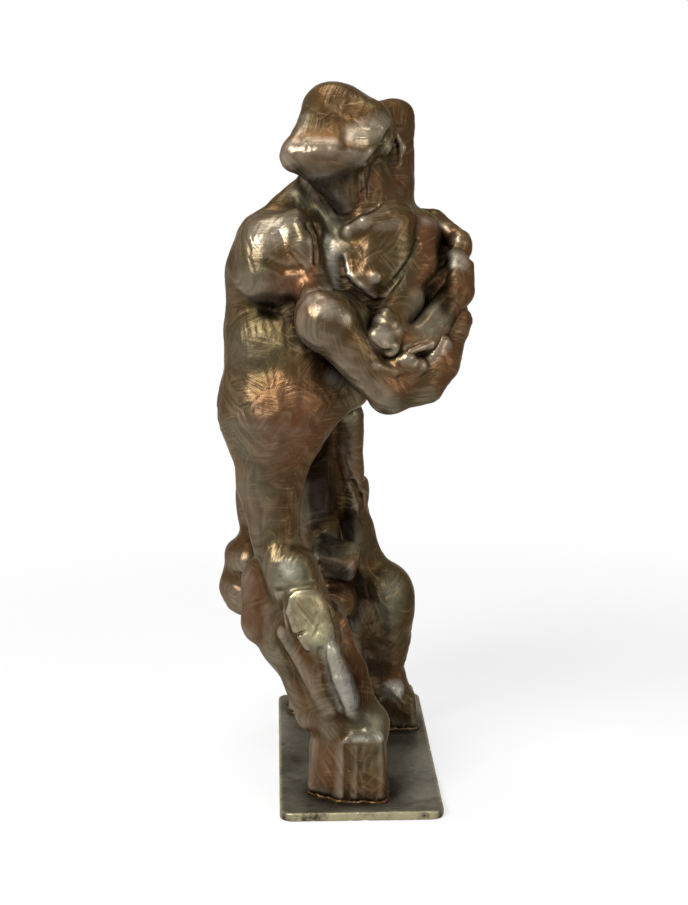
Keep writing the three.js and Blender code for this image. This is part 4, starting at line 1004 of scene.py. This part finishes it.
def new_tree(name, skin_input, sizes):
    """A tree of geometry nodes with its inputs and its output, and the inputs as wires."""
    tree = bpy.data.node_groups.new(name, "GeometryNodeTree")
    kinds = {skin_input: "Geometry"} | dict.fromkeys(sizes, "Float") | {"Finish": "Material"}
    sockets = {}
    for label, kind in kinds.items():
        socket = tree.interface.new_socket(label, in_out="INPUT", socket_type="NodeSocket" + kind)
        sockets[label] = socket.identifier
    tree.interface.new_socket("Skin", in_out="OUTPUT", socket_type="NodeSocketGeometry")
    board = Board(tree)
    given = tree.nodes.new("NodeGroupInput")
    return tree, board, sockets, {label: Wire(board, given.outputs[label]) for label in sockets}


def finished(board, skin_wire, depth, finish):
    """Ends a tree of geometry nodes: the skin moved out by depth, with its finish on it."""
    normal = board.node("GeometryNodeInputNormal")
    offset = board.node("ShaderNodeVectorMath", {"operation": "SCALE"}, {0: normal, "Scale": depth})
    inputs = {"Geometry": skin_wire, "Offset": offset}
    moved = board.node("GeometryNodeSetPosition", None, inputs)
    real = board.node("GeometryNodeRealizeInstances", None, {"Geometry": moved})
    done = board.node("GeometryNodeSetMaterial", None, {"Geometry": real, "Material": finish})
    board.tree.links.new(done.socket, board.tree.nodes.new("NodeGroupOutput").inputs["Skin"])


def worn_plate():
    """Geometry nodes that sink the plate's faces unevenly, and never raise them."""
    depths = ["Wave depth", "Nick depth"]
    tree, board, sockets, taken = new_tree("worn_plate", "Skin", depths)
    place = board.node("GeometryNodeInputPosition")
    waves = board.noise(place, 28.0, detail=2.0)
    nicks = board.noise(place, 160.0, detail=2.0).ramp(0.52, 0.7) * board.field("edge")
    depth = 0 - (waves * taken["Wave depth"] + nicks * taken["Nick depth"])
    finished(board, taken["Skin"], depth, taken["Finish"])
    return tree, sockets


def sole_lines(pieces):
    """The lines in which the castings meet the top of the plate, as a mesh of edges."""
    points, edges = [], []
    for piece in pieces:
        work = bmesh.new()
        work.from_mesh(piece.data)
        parts = [*work.verts, *work.edges, *work.faces]
        bmesh.ops.bisect_plane(
            work, geom=parts, plane_co=(0, 0, plate_high.z), plane_no=(0, 0, 1), dist=1e-7,
            clear_inner=True, clear_outer=True,
        )
        work.verts.index_update()
        first = len(points)
        points += [vertex.co[:] for vertex in work.verts]
        edges += [tuple(first + vertex.index for vertex in edge.verts) for edge in work.edges]
        work.free()
    mesh = bpy.data.meshes.new("weld_bead")
    mesh.from_pydata(points, edges, [])
    return mesh


def weld():
    """Geometry nodes that lay a lumpy bead of weld along the lines that they are given."""
    lengths_taken = ["Bead radius", "Lump height", "Step"]
    tree, board, sockets, taken = new_tree("weld", "Lines", lengths_taken)
    curve = board.node("GeometryNodeMeshToCurve", None, {"Mesh": taken["Lines"]})
    inputs = {"Curve": curve, "Length": taken["Step"]}
    curve = board.node("GeometryNodeResampleCurve", {"mode": "LENGTH"}, inputs)
    circle = {"Resolution": 12, "Radius": taken["Bead radius"]}
    circle = board.node("GeometryNodeCurvePrimitiveCircle", None, circle)
    bead = board.node("GeometryNodeCurveToMesh", None, {"Curve": curve, "Profile Curve": circle})
    place = board.node("GeometryNodeInputPosition")
    lumps = board.noise(place, 210.0, detail=2.0).ramp(0.3, 0.75) - 0.35
    finished(board, bead, lumps * taken["Lump height"], taken["Finish"])
    return tree, sockets


def parted(figure, faces_of_joints):
    """Cuts the figure's faces along the joints, so that the castings part on clean lines."""
    mesh = figure.data
    centres = read(mesh.polygons, "center", 3)
    work = bmesh.new()
    work.from_mesh(mesh)
    work.faces.ensure_lookup_table()
    cuts = []
    for point, normal in faces_of_joints.values():
        away = (centres - metres(point)) @ np.array(normal)
        reach = np.linalg.norm(centres - metres(point), axis=1)
        near = np.nonzero((np.abs(away) < 3 * clay_cell * MM) & (reach < joint_reach * MM))[0]
        cuts.append((point, normal, [work.faces[n] for n in near]))
    for point, normal, faces in cuts:
        rims = {part for face in faces for part in (*face.edges, *face.verts)}
        bmesh.ops.bisect_plane(
            work, geom=[*faces, *rims], plane_co=metres(point), plane_no=normal, dist=1e-7
        )
    work.to_mesh(mesh)
    work.free()


def in_space(places, blocks):
    """Which places lie in any of a casting's blocks."""
    within = np.zeros(len(places), bool)
    for block in blocks:
        low, high = np.array(block[0], float), np.array(block[1], float)
        lean = math.radians(block[2]) if len(block) > 2 else 0
        pivot = np.array([(low[0] + high[0]) / 2, low[1], (low[2] + high[2]) / 2])
        local = places - pivot
        y = local[:, 1] * math.cos(lean) + local[:, 2] * math.sin(lean)
        z = local[:, 2] * math.cos(lean) - local[:, 1] * math.sin(lean)
        local = np.stack([local[:, 0], y, z], -1) + pivot
        within |= np.all((local > low) & (local < high), axis=1)
    return within


def rims_of(faces):
    """The closed rings of edges that only one face has, each running against that face."""
    edges = {}
    for face in faces:
        for one, other in zip(face, face[1:] + face[:1]):
            edges[(one, other)] = True
    after = {}
    for one, other in edges:
        if (other, one) not in edges:
            after.setdefault(other, []).append(one)
    rings = []
    while after:
        path = [next(iter(after))]
        while path[-1] in after:
            place = after[path[-1]].pop()
            if not after[path[-1]]:
                del after[path[-1]]
            if place in path:
                turn = path.index(place)
                rings.append(path[turn:])
                del path[turn + 1:]
            else:
                path.append(place)
    return [ring for ring in rings if len(ring) > 2]


def largest_part(corners, totals):
    """Which faces belong to the largest part of a skin whose faces meet along edges."""
    face = np.repeat(np.arange(len(totals)), totals)
    after = np.arange(len(corners)) + 1
    ends = np.cumsum(totals)
    after[ends - 1] = ends - totals
    sides = np.sort(np.stack([corners, corners[after]], -1), 1)
    _, side = np.unique(sides, axis=0, return_inverse=True)
    side = side.ravel()
    label = np.arange(side.max() + 1)
    changed = True
    while changed:
        face_label = np.full(len(totals), len(label))
        np.minimum.at(face_label, face, label[side])
        lower = label.copy()
        np.minimum.at(lower, side, face_label[face])
        lower = lower[lower]
        changed = not np.array_equal(lower, label)
        label = lower
    groups, counts = np.unique(face_label, return_counts=True)
    return face_label == groups[counts.argmax()]


def casting(name, figure_mesh, corners, totals):
    """A closed piece of the figure: its own faces, with a flat cap on every ring that they leave."""
    used, corners = np.unique(corners, return_inverse=True)
    faces = [face.tolist() for face in np.split(corners, np.cumsum(totals)[:-1])]
    caps = rims_of(faces)
    all_corners = np.concatenate([corners, *(np.array(cap) for cap in caps)])
    all_totals = np.append(totals, [len(cap) for cap in caps])
    starts = np.append(0, np.cumsum(all_totals)[:-1])
    mesh = blender_mesh(name, vertices_of(figure_mesh)[used], all_corners, starts)
    mesh.polygons.foreach_set("use_smooth", np.arange(len(starts)) < len(totals))
    for mark in marked:
        give(mesh, mark, read(figure_mesh.attributes[mark].data, "value")[used])
    shading = read(figure_mesh.vertex_normals, "vector", 3)[used][all_corners]
    shading[len(corners):] = 0
    mesh.normals_split_custom_set(shading)
    mesh.materials.append(figure_mesh.materials[0])
    return shown(name + "_bronze", mesh)


def castings_of(figure):
    """Parts the figure's mesh into closed castings that meet face to face."""
    parted(figure, joint_faces)
    mesh = figure.data
    centres = millimetres(read(mesh.polygons, "center", 3))
    corners = read(mesh.loops, "vertex_index", kind=np.int32)
    starts = read(mesh.polygons, "loop_start", kind=np.int32)
    totals = np.diff(np.append(starts, len(corners)))
    unused = np.ones(len(centres), bool)
    pieces = {}
    for name, blocks in [*spaces.items(), ("forequarter", None)]:
        chosen = unused.copy() if blocks is None else unused & in_space(centres, blocks)
        places = np.nonzero(chosen)[0]
        chosen[places] = largest_part(corners[np.repeat(chosen, totals)], totals[chosen])
        unused &= ~chosen
        own = np.repeat(chosen, totals)
        pieces[name] = casting(name, mesh, corners[own], totals[chosen])
    return pieces


class Wire:
    """A node's output, so that sums on it are written as sums."""

    def __init__(self, board, socket):
        self.board = board
        self.socket = socket

    def math(self, operation, other):
        return self.board.node("ShaderNodeMath", {"operation": operation}, {0: self, 1: other})

    def __add__(self, other):
        return self.math("ADD", other)

    def __sub__(self, other):
        return self.math("SUBTRACT", other)

    def __mul__(self, other):
        return self.math("MULTIPLY", other)

    def __rsub__(self, other):
        return self.board.node("ShaderNodeMath", {"operation": "SUBTRACT"}, {0: other, 1: self})

    __radd__ = __add__
    __rmul__ = __mul__

    def ramp(self, low, high):
        """Nothing at low, one at high, and a smooth change between."""
        inputs = {"Value": self, "From Min": low, "From Max": high}
        settings = {"interpolation_type": "SMOOTHSTEP"}
        return self.board.node("ShaderNodeMapRange", settings, inputs)


class Board:
    """A node tree, and the one way in which its nodes are made."""

    def __init__(self, tree):
        self.tree = tree

    def node(self, kind, settings=None, inputs=None, output=0):
        made = self.tree.nodes.new(kind)
        for name, value in (settings or {}).items():
            setattr(made, name, value)
        self.wire(made, inputs or {})
        return Wire(self, made.outputs[output])

    def wire(self, made, inputs):
        """Sets a node's sockets, from wires or plain values."""
        for key, value in inputs.items():
            socket = made.inputs[key]
            if isinstance(value, Wire):
                self.tree.links.new(value.socket, socket)
            else:
                socket.default_value = value

    def painted(self, share, under, over):
        """The colour under, covered by the colour over where share is one."""
        settings = {"data_type": "RGBA"}
        return self.node("ShaderNodeMix", settings, {0: share, 6: under, 7: over}, output=2)

    def noise(self, places, scale, detail=2.0, roughness=0.5, distortion=0.0):
        inputs = {"Vector": places, "Scale": scale, "Detail": detail, "Roughness": roughness}
        return self.node("ShaderNodeTexNoise", None, inputs | {"Distortion": distortion})

    def bumped(self, height):
        inputs = {"Strength": 1.0, "Distance": 1.0, "Height": height}
        return self.node("ShaderNodeBump", None, inputs)

    def mark(self, name):
        return self.node("ShaderNodeAttribute", {"attribute_name": name}, output="Fac")

    def field(self, name):
        return self.node("GeometryNodeInputNamedAttribute", {"data_type": "FLOAT"}, {"Name": name})

    def bent(self, places, scale, distance):
        """The places, pushed about by noise so that straight borders wander."""
        sway = self.node("ShaderNodeTexNoise", None, {"Vector": places, "Scale": scale}, output="Color")
        inputs = {0: sway, 1: (0.5, 0.5, 0.5)}
        sway = self.node("ShaderNodeVectorMath", {"operation": "SUBTRACT"}, inputs)
        inputs = {0: sway, 1: (distance, distance, distance), 2: places}
        return self.node("ShaderNodeVectorMath", {"operation": "MULTIPLY_ADD"}, inputs)

    def strokes(self, places, patches, pitch, length, detail):
        """Noise drawn out into strokes, which run another way in each patch of the surface."""
        inputs = {"Vector": self.bent(places, 2 * patches, 0.6 / patches), "Scale": patches}
        way = self.node("ShaderNodeTexVoronoi", None, inputs, output="Color")
        way = self.node("ShaderNodeVectorMath", {"operation": "SCALE"}, {0: way, "Scale": math.tau})
        settings = {"rotation_type": "EULER_XYZ"}
        spun = self.node("ShaderNodeVectorRotate", settings, {"Vector": places, "Rotation": way})
        inputs = {0: spun, 1: (1 / pitch, 1 / length, 1 / length)}
        drawn = self.node("ShaderNodeVectorMath", {"operation": "MULTIPLY"}, inputs)
        return self.noise(drawn, 1.0, detail=detail, roughness=0.5, distortion=0.2)


def colour(red, green, blue):
    return (red, green, blue, 1.0)


def new_material(name):
    made = bpy.data.materials.new(name)
    made.use_nodes = True
    board = Board(made.node_tree)
    return made, board, made.node_tree.nodes["Principled BSDF"]


def wired(board, shader, **inputs):
    """Sets the shader's sockets by their names, with _ for a space."""
    board.wire(shader, {name.replace("_", " "): value for name, value in inputs.items()})


def bronze_patina_and_painted_light():
    material, board, shader = new_material("bronze_patina_and_painted_light")
    place = board.node("ShaderNodeTexCoord", output="Object")
    hollow = board.mark("hollow")
    hollow_wide = board.mark("hollow_wide")
    gold = board.mark("gold")
    silver_highlight = board.mark("silver_highlight")
    cloud = board.noise(place, 24.0, detail=3.0)
    patch = board.noise(place, 60.0, detail=4.0, roughness=0.6)
    warm = board.noise(board.bent(place, 30.0, 0.01), 17.0, detail=2.0)
    speck = board.noise(place, 420.0, detail=3.0, roughness=0.6)
    comb = board.strokes(place, 34.0, 0.0019, 0.03, 1.0)
    scratch = board.strokes(place, 60.0, 0.0009, 0.02, 2.0)
    comb_share = board.noise(place, 45.0, detail=1.0).ramp(0.45, 0.62)
    comb_share = comb_share * (1 - 0.8 * gold)

    tone = board.painted(cloud.ramp(0.38, 0.62), brown, olive)
    red = (warm.ramp(0.5, 0.68) * 0.7).math("MAXIMUM", board.mark("red"))
    tone = board.painted(red, tone, reddish)
    tone = board.painted(patch.ramp(0.5, 0.75) * 0.5, tone, umber)
    green = board.mark("green") * (0.45 + 0.55 * patch.ramp(0.35, 0.6))
    green = green.math("MAXIMUM", hollow.ramp(0.05, 0.3) * patch.ramp(0.4, 0.6) * 0.7)
    tone = board.painted(green * 0.85, tone, verdigris)
    # painted shade: the colour darkens in wide hollows and in the painted-shade zones, less where the
    # patina is green
    painted_shade = hollow_wide.ramp(-0.05, 0.4) * (1 - 0.7 * board.mark("green"))
    shade = board.mark("painted_shade")
    painted_shade = painted_shade.math("MAXIMUM", shade)
    tone = board.painted(painted_shade * 0.92, tone, dark)
    # wear on proud places, and painted highlights in their zones, in a pale colour
    wear_and_highlight = (0 - hollow).ramp(0.12, 0.5).math("MAXIMUM", board.mark("rubbed_and_highlight"))
    # the light strokes are weakened where shade is painted
    lit = 1 - 0.8 * shade
    tone = board.painted(wear_and_highlight * (0.1 + 0.6 * comb), tone, rubbed_and_highlight)
    tone = board.painted(comb_share * (comb.ramp(0.35, 0.7) * 0.3) * lit, tone, tan)
    tone = board.painted(scratch.ramp(0.52, 0.75) * 0.35 * lit, tone, tan)
    streaked = 0.6 + 0.4 * scratch.ramp(0.3, 0.6)
    blotch = 0.4 + 0.6 * patch.ramp(0.38, 0.6)
    tone = board.painted(gold * streaked * blotch, tone, pale_gold)
    # painted highlights in pale silver, broken into streaks and blotches
    tone = board.painted(silver_highlight * streaked * blotch, tone, pale_silver)

    height = comb * comb_share * 0.0005 + scratch * 0.0001 + patch * 0.0006 + speck * 0.00006
    bump = board.bumped(height)
    rough = 0.33 + 0.2 * (patch - 0.5) + 0.22 * painted_shade + 0.12 * green - 0.06 * wear_and_highlight
    # in the painted shade the metal turns fully metallic, which darkens it further
    wired(
        board, shader, Base_Color=tone, Roughness=rough, Metallic=0.7 + 0.3 * shade, Normal=bump,
        IOR=1.2, Specular_Tint=colour(0.5, 0.43, 0.35),
    )
    return material


def plate_patina_and_painted_shade():
    """Green-brown and streaked, worn to bright metal along the rim."""
    material, board, shader = new_material("plate_patina_and_painted_shade")
    place = board.node("ShaderNodeTexCoord", output="Object")
    cloud = board.noise(board.bent(place, 20.0, 0.02), 14.0, detail=5.0, roughness=0.65)
    patch = board.noise(place, 70.0, detail=4.0, roughness=0.7)
    speck = board.noise(place, 380.0, detail=3.0, roughness=0.6)
    scratch = board.strokes(place, 30.0, 0.0012, 0.02, 2.0)
    # painted shade: the plate darker near the figure's feet and in its sunken places
    painted_plate_shade = board.mark("hollow_wide").ramp(0.0, 0.35)
    tone = board.painted(cloud.ramp(0.38, 0.62), plate_dark, plate_grey)
    tone = board.painted(patch.ramp(0.52, 0.72) * 0.55, tone, verdigris)
    tone = board.painted(patch.ramp(0.3, 0.46).math("SUBTRACT", 1.0) * -0.5, tone, umber)
    tone = board.painted(painted_plate_shade * 0.8, tone, dark)
    tone = board.painted(scratch.ramp(0.55, 0.75) * 0.3, tone, tan)
    rim = board.mark("edge") * patch.ramp(0.3, 0.55)
    tone = board.painted(rim * 0.85, tone, pale_gold)
    height = cloud * 0.0016 + patch * 0.0005 + speck * 0.00008 + scratch * 0.0001
    bump = board.bumped(height)
    rough = 0.4 + 0.3 * (patch - 0.5) - 0.08 * rim
    wired(
        board, shader, Base_Color=tone, Roughness=rough, Metallic=0.6, Normal=bump,
        IOR=1.25, Specular_Tint=colour(0.5, 0.45, 0.38),
    )
    return material


def screw_steel():
    material, board, shader = new_material("screw_steel")
    place = board.node("ShaderNodeTexCoord", output="Object")
    grain = board.noise(place, 900.0, detail=2.0)
    tone = board.painted(grain, colour(0.36, 0.36, 0.37), colour(0.5, 0.5, 0.51))
    wired(board, shader, Base_Color=tone, Roughness=0.3 + 0.15 * grain, Metallic=1.0)
    return material


def white_where_seen(board, shader, output, share):
    """Mixes the shader with plain white light, for what the camera and the reflections see."""
    rays = ["Is Camera Ray", "Is Glossy Ray", "Is Transmission Ray"]
    camera_ray, glossy, through = (board.node("ShaderNodeLightPath", output=ray) for ray in rays)
    seen = camera_ray.math("MAXIMUM", glossy).math("MAXIMUM", through)
    glow = board.node("ShaderNodeEmission", None, {"Color": colour(1, 1, 1), "Strength": 1.0})
    mixed = board.node("ShaderNodeMixShader", None, {0: seen * share, 1: shader, 2: glow})
    board.tree.links.new(mixed.socket, output.inputs["Surface"])


def floor_paint():
    """White paint that keeps the shadow near the statue and fades to plain white far from it."""
    material, board, shader = new_material("floor_paint")
    wired(board, shader, Base_Color=colour(0.8, 0.8, 0.8), Roughness=0.9)
    place = board.node("ShaderNodeTexCoord", output="Object")
    away = board.node("ShaderNodeVectorMath", {"operation": "LENGTH"}, {0: place}, output="Value")
    output = board.tree.nodes["Material Output"]
    surface = Wire(board, shader.outputs["BSDF"])
    white_where_seen(board, surface, output, 0.72 + 0.28 * away.ramp(0.25, 0.75))
    return material


brown = colour(0.06, 0.031, 0.0115)
olive = colour(0.046, 0.034, 0.015)
reddish = colour(0.092, 0.04, 0.018)
umber = colour(0.03, 0.0165, 0.008)
tan = colour(0.22, 0.155, 0.085)
# the near-black of painted shade
dark = colour(0.007, 0.0042, 0.0024)
verdigris = colour(0.12, 0.118, 0.08)
# the pale colour of wear and of painted highlights
rubbed_and_highlight = colour(0.46, 0.4, 0.31)
pale_gold = colour(0.36, 0.32, 0.19)
# the pale colour of painted highlights
pale_silver = colour(0.42, 0.4, 0.34)
plate_dark = colour(0.078, 0.07, 0.05)
plate_grey = colour(0.17, 0.162, 0.13)


figure, figure_grid, figure_low = sculpted("figure", modelled_figure())
right_clay, left_clay = model_right_arm(), model_left_arm()
detail_arms(right_clay, left_clay)
right_arm, right_grid, right_low = sculpted("right_arm_bronze", [right_clay])
left_arm, left_grid, left_low = sculpted("left_arm_bronze", [left_clay])
shares = solid_share([(figure_grid, figure_low), (right_grid, right_low), (left_grid, left_low)])
patina = bronze_patina_and_painted_light()
worked, worked_sockets = hand_work()
for piece in (figure, right_arm, left_arm):
    note_hollows(piece.data, shares)
    note_zones(piece.data)
    evaluated(
        piece, worked, worked_sockets,
        Press_depth=0.0011, Stroke_depth=0.0016, Finish=patina,
    )
    kept_within(piece, cad_bounds)
castings = castings_of(figure)
bpy.data.objects.remove(figure)

plate, _, _ = sculpted("plate_bronze", [model_plate()])
note_hollows(plate.data, shares)
note_edges(plate.data)
plate_work, plate_sockets = worn_plate()
evaluated(
    plate, plate_work, plate_sockets, Wave_depth=0.0003, Nick_depth=0.0006, Finish=plate_patina_and_painted_shade(),
)
kept_within(plate, (plate_low, plate_high))
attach(plate, "root")
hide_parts("base_plate")

standing = [castings[name] for name in ("right_foreleg", "left_hind_leg", "right_hind_leg")]
bead = shown("weld_bead", sole_lines(standing))
welded, weld_sockets = weld()
evaluated(
    bead, welded, weld_sockets,
    Bead_radius=0.0015, Lump_height=0.0014, Step=0.0012, Finish=patina,
)
bead.data.polygons.foreach_set("use_smooth", np.ones(len(bead.data.polygons), bool))
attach(bead, "root")

pins_of = {
    "forequarter": ["knee_pin", "waist_pin", "withers_pin"],
    "left_foreleg": ["folded_leg_pin"],
    "hindquarters": ["left_hind_pin", "right_hind_pin", "tail_pin"],
    "torso": ["neck_pin"],
}
for name, piece in [*castings.items(), ("right_arm", right_arm), ("left_arm", left_arm)]:
    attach(piece, "root")
    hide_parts(name, *pins_of.get(name, []))

screw_finish = screw_steel()
for name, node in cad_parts.items():
    node.data.materials.clear()
    node.data.materials.append(screw_finish if name in screw_names else patina)


# Half the floor's side in metres, and the light of the white surroundings
floor_half = 6.0
sky_strength = 0.14


def studio():
    floor = shown("floor", bpy.data.meshes.new("floor"))
    half = floor_half
    corners = [(-half, -half, 0), (half, -half, 0), (half, half, 0), (-half, half, 0)]
    floor.data.from_pydata(corners, [], [(0, 1, 2, 3)])
    floor.data.materials.append(floor_paint())
    world = bpy.data.worlds.new("studio")
    bpy.context.scene.world = world
    world.use_nodes = True
    board = Board(world.node_tree)
    sky = world.node_tree.nodes["Background"]
    sky.inputs["Color"].default_value = colour(1, 1, 1)
    sky.inputs["Strength"].default_value = sky_strength
    surface = Wire(board, sky.outputs["Background"])
    white_where_seen(board, surface, world.node_tree.nodes["World Output"], 1.0)


def lamp(name, place, aim, size, power):
    light = bpy.data.lights.new(name, "AREA")
    light.energy = power
    light.size = size
    piece = bpy.data.objects.new(name, light)
    bpy.context.scene.collection.objects.link(piece)
    away = Vector(place) - Vector(aim)
    piece.matrix_world = Matrix.Translation(place) @ away.to_track_quat("Z", "Y").to_matrix().to_4x4()


# The photograph's camera, solved on the plate's corners: place, heading, dip and roll
camera_place = (-51.8, -1369.0, 481.4)
camera_angles = (1.88, 11.14, -0.17)
focal_pixels = 2100
frame_pixels = 905
film_height = 36


def camera():
    place = Vector(camera_place) * MM
    heading, dip, roll = (math.radians(angle) for angle in camera_angles)
    level_ahead = Vector((math.sin(heading), math.cos(heading), 0))
    ahead = level_ahead * math.cos(dip) - Vector((0, 0, math.sin(dip)))
    level_right = Vector((math.cos(heading), -math.sin(heading), 0))
    level_up = level_right.cross(ahead)
    right = level_right * math.cos(roll) + level_up * math.sin(roll)
    up = level_up * math.cos(roll) - level_right * math.sin(roll)
    view = bpy.data.cameras.new("photo_view")
    view.sensor_fit = "VERTICAL"
    view.sensor_height = film_height
    view.lens = film_height * focal_pixels / frame_pixels
    view.clip_start = 0.01
    piece = bpy.data.objects.new("photo_view", view)
    bpy.context.scene.collection.objects.link(piece)
    axes = Matrix((right, up, -ahead)).transposed().to_4x4()
    piece.matrix_world = Matrix.Translation(place) @ axes
    bpy.context.scene.camera = piece


studio()
lamp("key", (-0.75, -1.0, 1.2), (0, 0, 0.25), 0.75, 36)
lamp("fill", (1.0, -0.8, 0.6), (0, 0, 0.25), 0.6, 4)
lamp("top", (-0.1, 0.1, 1.5), (0, 0, 0.25), 0.6, 8)
camera()
bpy.context.scene.view_settings.view_transform = "Standard"
